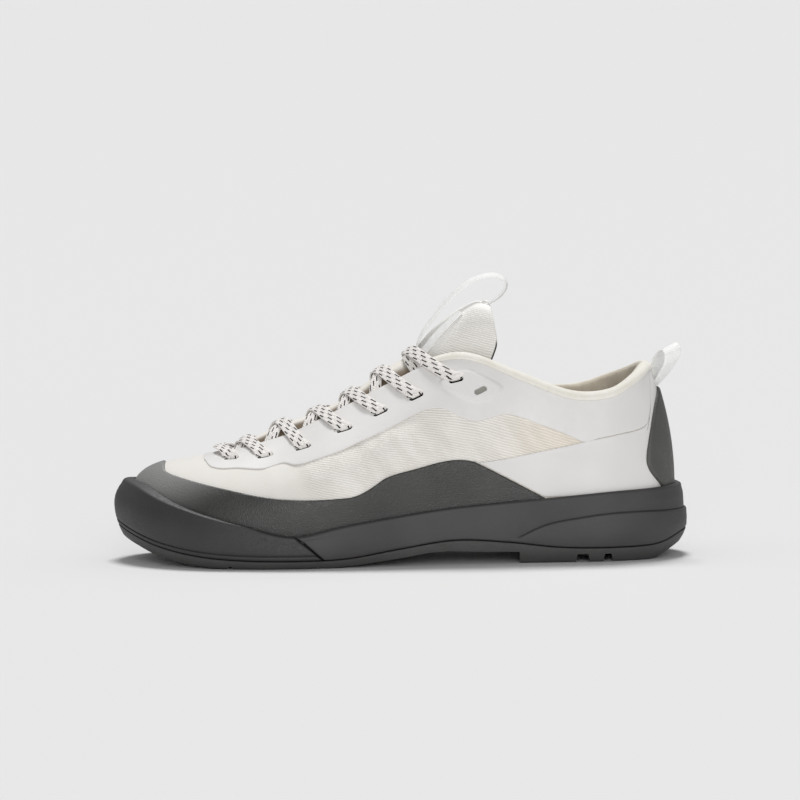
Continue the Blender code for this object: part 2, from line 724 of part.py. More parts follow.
def make_toe_bumper():
    """The rubber wall round the toe, with the rib and groove along its foot and slanting ends."""
    rows = []

    def row(height_of, wall_of):
        start = split_s(height_of) + SPLIT_STEP + 0.035
        s = np.linspace(start, LOOP - start, 2 * FRONT_STEPS + 9)
        joint, rim = around(same(SOLE.joint), s), around(same(SOLE.rim), s)
        rows.append(wall_of(s, height_of(s, joint, rim)))

    def outer(inset):
        return lambda s, z: sole_wall(s, z, inset + 0 * s)

    row(lambda s, j, r: j, outer(0.5))
    row(lambda s, j, r: j + 0.6, outer(0.0))
    row(lambda s, j, r: j + RIB_HEIGHT, outer(0.0))
    row(lambda s, j, r: j + RIB_HEIGHT + 0.4, outer(GROOVE))
    row(lambda s, j, r: j + RIB_HEIGHT + 0.8, outer(0.0))
    row(lambda s, j, r: 0.45 * (j + RIB_HEIGHT) + 0.55 * r, outer(0.0))
    row(lambda s, j, r: r - 0.8, outer(0.0))
    row(lambda s, j, r: r, outer(0.8))
    row(lambda s, j, r: r, cup_wall)
    row(lambda s, j, r: 0.35 * j + 0.65 * r, cup_wall)
    row(lambda s, j, r: 0.7 * j + 0.3 * r, cup_wall)
    row(lambda s, j, r: j, cup_wall)
    sweep("toe_bumper", np.array(rows).transpose(1, 0, 2), RUBBER)


def make_insole():
    s = both_sides(np.linspace(0, TOE, 22))
    feather = around(same(FEATHER.height), s)
    loops = []
    for rise, inset in ((0.0, 0.6), (0.3, 0.4), (INSOLE_THICKNESS - 0.8, 0.4), (INSOLE_THICKNESS, 1.4)):
        z = feather + rise
        loop = upper_point(s, t_at_height(s, z), -(UPPER_WALL + SEAT_GAP + inset))
        loop[:, 2] = z
        loops.append(loop)
    capped_ring("insole", loops, LINING)


# Tongue and collar
def tongue_row(column, r):
    return along(np.arange(len(column), dtype=float), column, r)


def tongue_face(r, v, deep=0.0):
    """A point of the tongue: r counts its sections, v runs from -1 (outer side) to 1, deep lies below."""
    r, v = np.broadcast_arrays(np.asarray(r, float), np.asarray(v, float))
    arc = math.radians(TONGUE_ARC_DEG)
    angle = v * arc
    tilt = np.radians(tongue_row(TONGUE.tilt, r))
    back = tongue_row(TONGUE.wrap, r) * (1 - np.cos(angle)) / (1 - math.cos(arc))
    half = tongue_row(TONGUE.half_width, r)
    y = half * np.sin(angle) / math.sin(arc) + throat_middle(tongue_row(TONGUE.from_heel, r))
    lean = deep * np.cos(angle * 0.8) + back
    u = tongue_row(TONGUE.from_heel, r) - lean * np.cos(tilt)
    z = tongue_row(TONGUE.height, r) - lean * np.sin(tilt)
    return place(u, y - deep * np.sin(angle * 0.8), z)


def throat_middle(from_heel):
    """The throat's middle line, which runs to the inner side towards the toe."""
    return np.interp(from_heel, [110, 152, 205, 239], [0, 0.7, 2.0, 3.3])


def make_tongue():
    r = np.linspace(0, len(TONGUE.from_heel) - 1, 17)[:, None]
    v = np.linspace(-1, 1, 9)[None, :]
    thick = tongue_row(TONGUE.thickness, r) * (1 - 0.55 * np.abs(v) ** 3)
    shell("tongue", tongue_face(r, v, thick), tongue_face(r, v), KNIT)


COLLAR_START = 132.0
# The padded collar in section: out of the wall, and up from the wall's top edge
COLLAR_SECTION = [
    (0.6, 0.7), (0.8, 2.2), (-0.9, 4.1), (-3.6, 3.9), (-5.4, 2.0),
    (-5.8, -6.0), (-4.7, -15.0), (-3.2, -20.0), (-2.9, -9.0), (-2.4, 0.7),
]


def make_collar():
    start = float(np.interp(COLLAR_START, EDGE.from_heel, np.arange(ROWS)))
    s = np.linspace(-start, start, 45)
    taper = np.clip((start - np.abs(s)) / 2.2, 0.25, 1.0)
    top = upper_surface(s, 1.0)
    normal = upper_normal(s, 1.0)
    up = unit(upper_surface(s, 1.0) - upper_surface(s, 0.98))
    sections = []
    for i in range(len(s)):
        points = []
        for out, rise in COLLAR_SECTION:
            if rise < 0:
                depth = 1.0 + rise * taper[i] / np.linalg.norm(top[i] - upper_surface(s[i], 0.0))
                base = upper_surface(s[i], depth)
                side = upper_normal(s[i], depth)
                points.append(base + (-2.9 + (out + 2.9) * taper[i]) * side)
            else:
                reach = out if out > -2.5 else -2.4 + (out + 2.4) * taper[i]
                points.append(top[i] + reach * normal[i] + rise * up[i])
        sections.append(points)
    sweep("collar_pad", sections, LINING)


# Lace: a bar at the foot of the throat and a crossing for each pair of eyelets above it
LACE_RISE = SEAT_GAP + LACE_THICKNESS / 2


def on_tongue(from_heel, v, rise):
    """A point over the tongue's face at a place of its crest line, with the way out of the face."""
    r = float(np.interp(-from_heel, -TONGUE.from_heel, np.arange(len(TONGUE.from_heel))))
    step = 0.02
    along_r = tongue_face(r + step, v) - tongue_face(r - step, v)
    along_v = tongue_face(r, v + step) - tongue_face(r, v - step)
    away = unit(np.cross(along_r, along_v))
    return np.concatenate([tongue_face(r, v) + rise * away, away])


def on_film(s, t, rise):
    """A point over the film panels, with the way out of them."""
    return np.concatenate([upper_point(s, t, FILM_OUT + rise), upper_normal(np.float64(s), np.float64(t))])


def at_eyelet(i, medial):
    s = s_at_place(EYELETS.from_heel[i], EYELETS.height[i], medial)
    return s, float(t_at_height(s, EYELETS.height[i]))


def strap(name, stops, count):
    """A lace's tape through stops that each hold a point and the way out of what lies under it."""
    line = path(stops, count)
    heading = np.gradient(line[:, :3], axis=0)
    return ribbon(name, line[:, :3], np.cross(heading, line[:, 3:]), LACE_WIDTH, LACE_THICKNESS, BRAID)


def lace_half(name, i, medial):
    """From an eyelet over its edge of the throat, across the tongue's crest and down to the other edge."""
    side = 1 if medial else -1
    s, t = at_eyelet(i, medial)
    crest, forward, share = LACE.crest[i], LACE.forward[i], LACE.share[i]
    over_edge = s - side * 0.5 * (crest - EYELETS.from_heel[i]) / 22.0
    stops = [
        on_film(s, t, LACE_RISE),
        on_film(0.5 * (s + over_edge), 0.5 * (t + 0.98), LACE_RISE + 0.5),
        on_film(over_edge, 0.985, LACE_RISE + 1.6),
        on_tongue(crest, 0.0, LACE_RISE + 0.8),
        on_tongue(crest + 0.6 * forward, -side * 0.6 * share, LACE_RISE + 0.7),
        on_tongue(crest + forward, -side * share, LACE_RISE + 0.5),
    ]
    return strap(name, stops, 10)


def make_lace():
    for i in range(1, len(LACE.crest)):
        crossing = lace_half(f"lace_crossing_{i}", i, False)
        other = lace_half(f"lace_other_half_{i}", i, True)
        other.hide_render = True
        other.display_type = "WIRE"
        join(crossing, other, "UNION")
    (s, t), (far_s, far_t) = at_eyelet(0, False), at_eyelet(0, True)
    points = upper_surface(TOE, T_STEPS)
    front = float(T_STEPS[first_true(SHOE_LENGTH / 2 - points[:, 0] < LACE.crest[0])])
    stops = [
        on_film(s, t, LACE_RISE),
        on_film(0.5 * (s + TOE), 0.5 * (t + front), LACE_RISE + 0.6),
        on_film(TOE, front, LACE_RISE + 0.8),
        on_film(0.5 * (far_s + TOE), 0.5 * (far_t + front), LACE_RISE + 0.6),
        on_film(far_s, far_t, LACE_RISE),
    ]
    strap("lace_bar", stops, 9)


def make_loops():
    across = np.array([0.0, 1.0, 0.0])
    steps = np.linspace(*TONGUE_TAB, 7)
    centre = np.array([on_tongue(u, 0.0, SEAT_GAP + WEBBING / 2)[:3] for u in steps])
    ribbon("tongue_tab", centre, np.broadcast_to(across, centre.shape), TONGUE_TAB_WIDTH, WEBBING, TAPE)
    line = path(np.stack([TONGUE_LOOP.from_heel, TONGUE_LOOP.height], axis=1), 22)
    centre = place(line[:, 0], 0.0, line[:, 1])
    ribbon("tongue_loop", centre, np.broadcast_to(across, centre.shape), TONGUE_LOOP_WIDTH, WEBBING, TAPE)
    line = path(np.stack([HEEL_LOOP.from_heel, HEEL_LOOP.height], axis=1), 22)
    centre = place(line[:, 0], 0.0, line[:, 1])
    ribbon("heel_loop", centre, np.broadcast_to(across, centre.shape), HEEL_LOOP_WIDTH, WEBBING, TAPE)


def clear_scene():
    for old in list(bpy.data.objects):
        bpy.data.objects.remove(old)


clear_scene()
make_outsole()
make_midsole()
make_toe_bumper()
make_insole()
make_upper()
make_rand()
make_film_quarters()
make_heel_panel()
make_heel_counter()
make_tongue()
make_collar()
make_lace()
make_loops()
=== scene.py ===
import math

import bpy
import numpy as np
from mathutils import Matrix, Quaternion, Vector


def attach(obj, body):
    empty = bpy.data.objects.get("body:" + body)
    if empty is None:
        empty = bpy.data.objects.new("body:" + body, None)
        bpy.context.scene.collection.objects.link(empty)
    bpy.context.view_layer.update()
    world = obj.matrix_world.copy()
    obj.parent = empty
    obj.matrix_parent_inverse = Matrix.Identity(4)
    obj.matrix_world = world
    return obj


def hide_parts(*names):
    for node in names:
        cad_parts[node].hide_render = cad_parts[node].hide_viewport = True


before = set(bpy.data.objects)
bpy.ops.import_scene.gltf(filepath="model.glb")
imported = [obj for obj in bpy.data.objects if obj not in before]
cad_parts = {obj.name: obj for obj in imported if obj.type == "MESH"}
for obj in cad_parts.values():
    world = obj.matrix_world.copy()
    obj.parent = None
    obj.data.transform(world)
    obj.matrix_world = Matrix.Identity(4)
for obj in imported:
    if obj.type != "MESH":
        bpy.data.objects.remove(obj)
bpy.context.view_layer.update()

# Upper mesh
# A seamless sock of pale ribbed polyester mesh, knitted to shape and pulled down over the last. Its foot is
# glued into the cup of the sole, and its top edge carries the eyestay, the collar and the lining.
MM = 0.001
SHOE_LENGTH = 300.0
MID_Y = -1.0815
MESH_THICKNESS = 1.0
MESH_STATIONS = 420
MESH_ROWS = 56
INNER_ROWS = 10
RIB_PITCH = 1.45
RIB_SLANT = 0.36
RIB_DEPTH = 0.1
RIB_BEND = 3.0
RIB_BEND_SIZE = 30.0
VAMP_RIB_SHARE = 0.1
VAMP_FROM_HEEL = (190.0, 206.0)
FRONT_CREAM_FROM_HEEL = (62.0, 112.0)
VAMP_WHITE_FROM_HEEL = (170.0, 214.0)
KNOT_PITCH = 1.2
KNOT_OFFSET = 0.3
KNOT_SHARE = 0.05
VALLEY_SHADE_SHARE = 0.28
HOLLOW_SHADE_SHARE = 0.1
STREAK_SHARE = 0.11
STREAK_DEG = 50.0
STREAK_SIZE = (22.0, 8.0, 7.0)
SWELL_FADE = 6.0


class Table:
    """A short table with named columns, each kept as an array."""

    def __init__(self, columns, rows):
        for name, values in zip(columns.split(), zip(*rows), strict=True):
            setattr(self, name, np.array(values, float))


# The upper's lower edge, in the sole, from heel to toe: lean is the wall's angle outwards there, and pull is
# how far that direction holds, as a share of the wall's chord
FEATHER = Table(
    "from_heel lateral medial height lean pull",
    [
        (9, 0, 0, 22, 4, 0.40),
        (11.5, -12, 12, 22, 4, 0.40),
        (21, -25, 25, 22, 5, 0.38),
        (42, -32.5, 32, 21.7, 5, 0.36),
        (68, -33.5, 31, 21, 5, 0.36),
        (95, -34, 28.5, 20, 6, 0.38),
        (122, -36, 27.5, 18.5, 8, 0.42),
        (150, -40, 30.5, 16.5, 9, 0.46),
        (178, -45.5, 37.5, 14.3, 10, 0.48),
        (205, -48.5, 43.7, 12.8, 11, 0.46),
        (230, -46.5, 46, 12.6, 11, 0.44),
        (251, -39.5, 44, 13.5, 10, 0.45),
        (269, -26, 37.5, 16.6, 9, 0.47),
        (282.5, -9.5, 28.5, 20, 8, 0.49),
        (289.8, 10, 10, 22, 9, 0.51),
    ],
)
# The upper's top edge, round the collar and the throat
EDGE = Table(
    "from_heel lateral medial height medial_height lean pull",
    [
        (18.8, 0, 0, 97.0, 97.0, 18, 0.34),
        (20.6, -9, 9, 97.0, 97.0, 17, 0.34),
        (26.5, -20, 20, 92.5, 93.8, 12, 0.34),
        (40, -28.3, 28.3, 85.2, 88.6, 8, 0.34),
        (60, -30, 29.5, 84.6, 83.4, 9, 0.34),
        (86, -29, 28.5, 94.4, 86.5, 15, 0.34),
        (111, -25.5, 25.5, 104.6, 101.0, 25, 0.36),
        (129, -21, 21.5, 103.8, 103.6, 36, 0.38),
        (152, -17.5, 19, 93.4, 93.4, 46, 0.40),
        (180, -15, 18, 79.0, 79.0, 53, 0.42),
        (205, -12.5, 16.5, 66.9, 66.9, 60, 0.45),
        (224, -9.5, 14, 60.8, 60.8, 68, 0.50),
        (234, -5.5, 11, 58.0, 58.0, 74, 0.53),
        (237.8, -1, 7.5, 57.0, 57.0, 78, 0.54),
        (238.8, 3.3, 3.3, 56.7, 56.7, 79, 0.55),
    ],
)
# Soft hollows and swells that the lasting leaves in the mesh, in side view: how far they run and stand
SWELLS = Table(
    "from_heel height angle_deg length width rise",
    [
        (104, 64, 24, 26, 5.0, 0.45),
        (128, 68, 28, 24, 6.0, -0.55),
        (146, 63, 34, 22, 5.0, 0.55),
        (163, 55, 40, 20, 5.5, -0.55),
        (180, 49, 48, 18, 5.0, 0.55),
        (199, 45, 60, 16, 5.0, -0.50),
        (214, 45, 75, 14, 5.5, 0.40),
    ],
)
TOE = len(FEATHER.from_heel) - 1
LOOP = 2 * TOE


def ring(lateral, medial):
    """Values at the sections, round the shoe: heel to toe on the outer side, then back on the inner side."""
    return np.concatenate([lateral, medial[TOE - 1 : 0 : -1]])


def same(column):
    return ring(column, column)


def around(values, s):
    """A smooth closed curve through the sections' values, at s counted in sections from the heel."""
    s = np.asarray(s, float)
    i = np.floor(s).astype(int)
    f = s - i
    a, b, c, d = (values[(i + k) % LOOP] for k in (-1, 0, 1, 2))
    return b + 0.5 * f * (c - a + f * (2 * a - 5 * b + 4 * c - d + f * (3 * (b - c) + d - a)))


def unit(v):
    return v / np.linalg.norm(v, axis=-1, keepdims=True)


def place(from_heel, y, z):
    """Shoe places as x, y, z, with the shoe's middle over the origin."""
    return np.stack(np.broadcast_arrays(SHOE_LENGTH / 2 - np.asarray(from_heel), y - MID_Y, z), axis=-1)


def outward(us, ys, s):
    """The level direction out of a plan curve."""
    step = 0.01
    du = around(us, s + step) - around(us, s - step)
    dy = around(ys, s + step) - around(ys, s - step)
    return unit(np.stack([-dy, -du, np.zeros_like(du)], axis=-1))


FEATHER_U = same(FEATHER.from_heel)
FEATHER_Y = ring(FEATHER.lateral, FEATHER.medial)
EDGE_U = same(EDGE.from_heel)
EDGE_Y = ring(EDGE.lateral, EDGE.medial)
EDGE_Z = ring(EDGE.height, EDGE.medial_height)


def upper_surface(s, t):
    """The upper's face: s runs round the shoe, t from the feather edge (0) to the top edge (1)."""
    s, t = np.broadcast_arrays(np.asarray(s, float), np.asarray(t, float))
    foot = place(around(FEATHER_U, s), around(FEATHER_Y, s), around(same(FEATHER.height), s))
    top = place(around(EDGE_U, s), around(EDGE_Y, s), around(EDGE_Z, s))
    out = outward(FEATHER_U, FEATHER_Y, s)
    up = np.array([0.0, 0.0, 1.0])
    chord = np.linalg.norm(top - foot, axis=-1)

    def handle(table, sign):
        lean = np.radians(around(same(table.lean), s))[..., None]
        pull = (around(same(table.pull), s) * chord)[..., None]
        return pull * (np.cos(lean) * up + sign * np.sin(lean) * out)

    t = t[..., None]
    first = foot + handle(FEATHER, 1)
    last = top - handle(EDGE, -1)
    return (1 - t) ** 3 * foot + 3 * t * (1 - t) ** 2 * first + 3 * t**2 * (1 - t) * last + t**3 * top


def upper_normal(s, t):
    step = 0.004
    along_s = upper_surface(s + step, t) - upper_surface(s - step, t)
    along_t = upper_surface(s, t + step) - upper_surface(s, t - step)
    return unit(np.cross(along_t, along_s))


def upper_point(s, t, out=0.0):
    """A point at a distance out of the upper's face."""
    s, t = np.broadcast_arrays(np.asarray(s, float), np.asarray(t, float))
    return upper_surface(s, t) + np.asarray(out, float)[..., None] * upper_normal(s, t)


def swell(points):
    """How far the mesh stands out or in at points of the upper."""
    from_heel = SHOE_LENGTH / 2 - points[..., 0]
    total = np.zeros(from_heel.shape)
    for u, z, angle_deg, length, width, rise in zip(*vars(SWELLS).values()):
        angle = math.radians(angle_deg)
        du, dz = from_heel - u, points[..., 2] - z
        run = (du * math.cos(angle) + dz * math.sin(angle)) / length
        side = (dz * math.cos(angle) - du * math.sin(angle)) / width
        total += rise * np.exp(-2 * run**2 - 2 * side**2)
    return total


def skin(name, rings, finish, marks=None, round_trip=False, sharp_deg=180.0):
    """A closed body through rings of points in millimetres. marks are values that its finish reads."""
    marks = dict(marks or {})

    def closed(grid):
        grid = np.concatenate([grid, grid[:, :1]], axis=1)
        return np.concatenate([grid, grid[:1]]) if round_trip else grid

    rings = closed(np.asarray(rings, float))
    count, sides = rings.shape[:2]
    bpy.ops.object.select_all(action="DESELECT")
    bpy.ops.mesh.primitive_grid_add(x_subdivisions=sides - 1, y_subdivisions=count - 1, size=1)
    piece = bpy.context.object
    piece.name = piece.data.name = name
    piece.data.vertices.foreach_set("co", (rings * MM).astype(np.float32).ravel())
    for mark, values in marks.items():
        attribute = piece.data.attributes.new(mark, "FLOAT", "POINT")
        attribute.data.foreach_set("value", closed(values).astype(np.float32).ravel())
    bpy.ops.object.mode_set(mode="EDIT")
    bpy.ops.mesh.select_all(action="SELECT")
    bpy.ops.mesh.remove_doubles(threshold=1e-6)
    bpy.ops.mesh.fill_holes(sides=0)
    bpy.ops.mesh.normals_make_consistent(inside=False)
    bpy.ops.object.mode_set(mode="OBJECT")
    bpy.ops.object.shade_smooth_by_angle(angle=math.radians(sharp_deg))
    piece.data.materials.append(finish)
    return piece


def colour(red, green, blue):
    """A colour from the screen's 0 to 255, as the shader takes it."""
    shares = np.array([red, green, blue]) / 255
    return (*np.where(shares < 0.04045, shares / 12.92, ((shares + 0.055) / 1.055) ** 2.4), 1.0)


def new_finish(name, sockets):
    """A finish with its shader's own sockets set."""
    made = bpy.data.materials.new(name)
    made.use_nodes = True
    for socket, value in sockets.items():
        made.node_tree.nodes["Principled BSDF"].inputs[socket].default_value = value
    return made


def add(finish, kind, inputs=None, out=0, **settings):
    """A node in a finish, fed with values or with other nodes' outputs; it gives one of its own outputs."""
    made = finish.node_tree.nodes.new("ShaderNode" + kind)
    for setting, value in settings.items():
        setattr(made, setting, value)
    for socket, value in (inputs or {}).items():
        if isinstance(value, bpy.types.NodeSocket):
            finish.node_tree.links.new(value, made.inputs[socket])
        else:
            made.inputs[socket].default_value = value
    return made.outputs[out]


def feed(finish, socket, output):
    finish.node_tree.links.new(output, finish.node_tree.nodes["Principled BSDF"].inputs[socket])


def calc(finish, operation, *values):
    return add(finish, "Math", dict(enumerate(values)), operation=operation)


def ease(finish, value, low, high, low_to=0.0, high_to=1.0):
    """A value that goes smoothly from one level to another between two bounds."""
    bounds = {0: value, 1: low, 2: high, 3: low_to, 4: high_to}
    return add(finish, "MapRange", bounds, interpolation_type="SMOOTHSTEP")


def mix(finish, share, first, second):
    return add(finish, "Mix", {0: share, 6: first, 7: second}, out=2, data_type="RGBA")


def mark_of(finish, name):
    return add(finish, "Attribute", out="Fac", attribute_name=name)


def spot_of(finish):
    return add(finish, "TexCoord", out="Object")


def speckle(finish, size_mm, detail=2.0):
    """Grain of a size, from 0 to 1."""
    return add(finish, "TexNoise", {"Vector": spot_of(finish), "Scale": 1 / (size_mm * MM), "Detail": detail})


def mottle(finish, size_mm, detail=2.0, low=0.3, high=0.7):
    """Soft spots of a size, from 0 to 1."""
    return ease(finish, speckle(finish, size_mm, detail), low, high)


def from_heel_of(finish):
    x = add(finish, "SeparateXYZ", {0: spot_of(finish)}, out="X")
    return calc(finish, "MULTIPLY_ADD", x, -1 / MM, SHOE_LENGTH / 2)


def emboss(finish, height, depth_mm, strength=1.0):
    bump = add(finish, "Bump", {"Strength": strength, "Distance": depth_mm * MM, "Height": height})
    feed(finish, "Normal", bump)


def wave(finish, value, pitch):
    return calc(finish, "SINE", calc(finish, "MULTIPLY", value, 2 * math.pi / pitch))


mesh_cloth = new_finish("ribbed_mesh", {"Roughness": 0.82, "Sheen Weight": 0.12, "Specular IOR Level": 0.3})
along_shoe = from_heel_of(mesh_cloth)
rib_line = calc(mesh_cloth, "MULTIPLY_ADD", along_shoe, -RIB_SLANT, mark_of(mesh_cloth, "girth"))
rib_line = calc(mesh_cloth, "MULTIPLY_ADD", speckle(mesh_cloth, RIB_BEND_SIZE), RIB_BEND, rib_line)
rib = wave(mesh_cloth, rib_line, RIB_PITCH)
knots = wave(mesh_cloth, calc(mesh_cloth, "MULTIPLY_ADD", rib, KNOT_OFFSET, along_shoe), KNOT_PITCH)
rib_strength = ease(mesh_cloth, along_shoe, *VAMP_FROM_HEEL, 1.0, VAMP_RIB_SHARE)
knotted = calc(mesh_cloth, "MULTIPLY_ADD", knots, KNOT_SHARE, rib)
patchy = calc(mesh_cloth, "MULTIPLY_ADD", mottle(mesh_cloth, 5, 3), 0.2, 0.8)
rib_height = calc(mesh_cloth, "MULTIPLY", calc(mesh_cloth, "MULTIPLY", knotted, rib_strength), patchy)
rear_cream, front_cream, vamp_white = colour(255, 246, 233), colour(254, 251, 246), colour(245, 243, 238)
window = mix(mesh_cloth, ease(mesh_cloth, along_shoe, *FRONT_CREAM_FROM_HEEL), rear_cream, front_cream)
cloth = mix(mesh_cloth, ease(mesh_cloth, along_shoe, *VAMP_WHITE_FROM_HEEL), window, vamp_white)
# Painted shade: the mesh is darker where it sinks into the hollows of the swells.
hollow_shade = ease(mesh_cloth, mark_of(mesh_cloth, "swell"), -0.5, 0.5, HOLLOW_SHADE_SHARE, 0.0)
cloth = mix(mesh_cloth, hollow_shade, cloth, colour(176, 168, 155))
streak_frame = {
    "Vector": spot_of(mesh_cloth),
    "Rotation": (0.0, math.radians(STREAK_DEG), 0.0),
    "Scale": [size * MM for size in STREAK_SIZE],
}
streaked = add(mesh_cloth, "Mapping", streak_frame, vector_type="TEXTURE")
streaks = add(mesh_cloth, "TexNoise", {"Vector": streaked, "Scale": 1.0, "Detail": 2.0})
streaks = calc(mesh_cloth, "MULTIPLY", ease(mesh_cloth, streaks, 0.4, 0.6, STREAK_SHARE, 0.0), rib_strength)
cloth = mix(mesh_cloth, streaks, cloth, colour(176, 166, 152))
# Painted shade: the rib valleys are darker than the crests.
valley_shade = mix(mesh_cloth, VALLEY_SHADE_SHARE, cloth, colour(150, 138, 120))
dipped = calc(mesh_cloth, "MULTIPLY_ADD", rib_height, 0.5, 0.5)
feed(mesh_cloth, "Base Color", mix(mesh_cloth, dipped, valley_shade, cloth))
emboss(mesh_cloth, rib_height, RIB_DEPTH)

mesh_s = np.linspace(0, LOOP, MESH_STATIONS, endpoint=False)[:, None]
face_t = np.linspace(0, 1, MESH_ROWS)
face = upper_surface(mesh_s, face_t)
lift = swell(face) * np.clip(face_t * SWELL_FADE, 0, 1) * np.clip((1 - face_t) * SWELL_FADE, 0, 1)
outer_face = upper_point(mesh_s, face_t, lift)
inner_face = upper_point(mesh_s, np.linspace(1, 0, INNER_ROWS), -MESH_THICKNESS)
reach = np.linalg.norm(np.diff(face, axis=1), axis=-1).cumsum(axis=1)
girth = np.concatenate([np.zeros((MESH_STATIONS, 1)), reach, np.zeros((MESH_STATIONS, INNER_ROWS))], axis=1)
mesh_marks = {
    "girth": girth,
    "swell": np.concatenate([lift, np.zeros((MESH_STATIONS, INNER_ROWS))], axis=1),
}
mesh_rings = np.concatenate([outer_face, inner_face], axis=1)
upper_mesh = skin("upper_mesh", mesh_rings, mesh_cloth, mesh_marks, round_trip=True)
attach(upper_mesh, "root")
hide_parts("upper")

# Lining
# A thin cream jersey, sewn to the shape of the upper and glued inside the mesh. It runs from the insole up to
# the collar and the throat's edge.
LINING_IN = 1.15
LINING_OUT = 2.0
LINING_TOP_T = 0.995
LINING_ROWS = 30
# The lining's cream, darkened to beige as painted shade of the shoe's inside; the collar's inside takes these
# tones too.
LINING_SHADE_TONES = colour(198, 188, 172), colour(216, 207, 190)


def cells(finish, size_mm):
    """Small rounded cells of a size, as loops of a knit or pebbles of a grain."""
    return add(finish, "TexVoronoi", {"Vector": spot_of(finish), "Scale": 1 / (size_mm * MM)})


def jersey(name, roughness, sheen, gloss, tones, mottle_mm, loop_mm, loop_depth, inside_shade_tones=None):
    """Fine jersey, mottled between two tones. The optional inside tones are painted shade, laid where the
    mark inside is set.
    """
    made = new_finish(name, {"Roughness": roughness, "Sheen Weight": sheen, "Specular IOR Level": gloss})
    tone = mottle(made, mottle_mm, 3)
    cloth = mix(made, tone, *tones)
    if inside_shade_tones:
        cloth = mix(made, mark_of(made, "inside"), cloth, mix(made, tone, *inside_shade_tones))
    feed(made, "Base Color", cloth)
    emboss(made, cells(made, loop_mm), loop_depth)
    return made


lining_cloth = jersey("jersey_lining", 0.9, 0.25, 0.25, LINING_SHADE_TONES, 9, 0.9, 0.12)
lining_t = np.linspace(0, LINING_TOP_T, LINING_ROWS)
lining_out = upper_point(mesh_s, lining_t, -LINING_IN)
lining_in = upper_point(mesh_s, lining_t[::-1], -LINING_OUT)
lining = skin("upper_lining", np.concatenate([lining_out, lining_in], axis=1), lining_cloth, round_trip=True)
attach(lining, "root")

# Insole
# A loose footbed, die-cut from soft foam and faced with the lining's jersey. It lies in the bottom of the
# upper and can be taken out.
INSOLE_RINGS = Table(
    "rise inset",
    [(0.0, 0.9), (0.3, 0.5), (2.6, 0.4), (3.4, 0.6), (3.9, 1.3), (4.0, 2.4), (4.0, 14)],
)
WALL = 2.0
SEAT_GAP = 0.3
T_STEPS = np.linspace(0, 1, 241)


def t_at_height(s, z):
    """Where the wall at s reaches a height."""
    s, z = np.broadcast_arrays(np.asarray(s, float), np.asarray(z, float))
    found = [
        np.interp(height, np.maximum.accumulate(upper_surface(place_s, T_STEPS)[:, 2]), T_STEPS)
        for place_s, height in zip(s.ravel(), z.ravel())
    ]
    return np.array(found).reshape(s.shape)


def to_middle(loop):
    """A loop round the shoe drawn together on its middle line, which closes a body there."""
    other_side = np.roll(loop[::-1], 1, axis=0)
    return 0.5 * (loop + other_side)


def both_sides(count):
    lateral = np.linspace(0, TOE, count)
    return np.concatenate([lateral, LOOP - lateral[-2:0:-1]])


insole_tones = colour(164, 156, 142), colour(184, 176, 162)
insole_cloth = jersey("footbed_jersey", 0.92, 0.2, 0.2, insole_tones, 12, 1.1, 0.15)
insole_s = both_sides(90)
insole_z = around(same(FEATHER.height), insole_s)
insole_loops = []
for rise, inset in zip(INSOLE_RINGS.rise, INSOLE_RINGS.inset):
    loop = upper_point(insole_s, t_at_height(insole_s, insole_z + rise), -(WALL + SEAT_GAP + inset))
    loop[:, 2] = insole_z + rise
    insole_loops.append(loop)
insole_loops = [to_middle(insole_loops[0]), *insole_loops, to_middle(insole_loops[-1])]
insole = skin("footbed", insole_loops, insole_cloth, sharp_deg=60)
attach(insole, "root")
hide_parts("insole")

# Rand
# A sheet of dark grained rubber, cut to an outline and cemented round the foot of the upper: low at the heel
# quarters, up to a peak at the waist, and over the toe. Its foot is hidden behind the rim of the sole.
RAND_IN = 0.05
RAND_OUT = 1.2
RAND_SOFT = 0.8
RAND_STATIONS = 560
RAND_ROWS = 26
TUCK_BELOW_RIM = 4.0
RAND_TOP = Table(
    "from_heel height",
    [
        (75, 33.4), (87, 40.0), (98, 46.0), (108.5, 51.6), (111, 52.8), (113.5, 53.5), (120, 54.2),
        (128, 53.4), (142, 50.0), (152, 47.6), (158, 45.4), (163, 42.0), (168, 39.0), (174, 36.6),
        (182, 35.8), (203, 35.6), (218, 36.7), (239, 40.4), (255, 43.4), (265, 45.5), (272, 47.2),
        (276, 48.6), (286, 52.0),
    ],
)
TOE_CAP_BACK = 272.8
TOE_CAP_ROUND = 0.035
TOE_HIGHLIGHT_SPAN = (300.0, 352.0)
TOE_HIGHLIGHT_SLOPE = 1.7
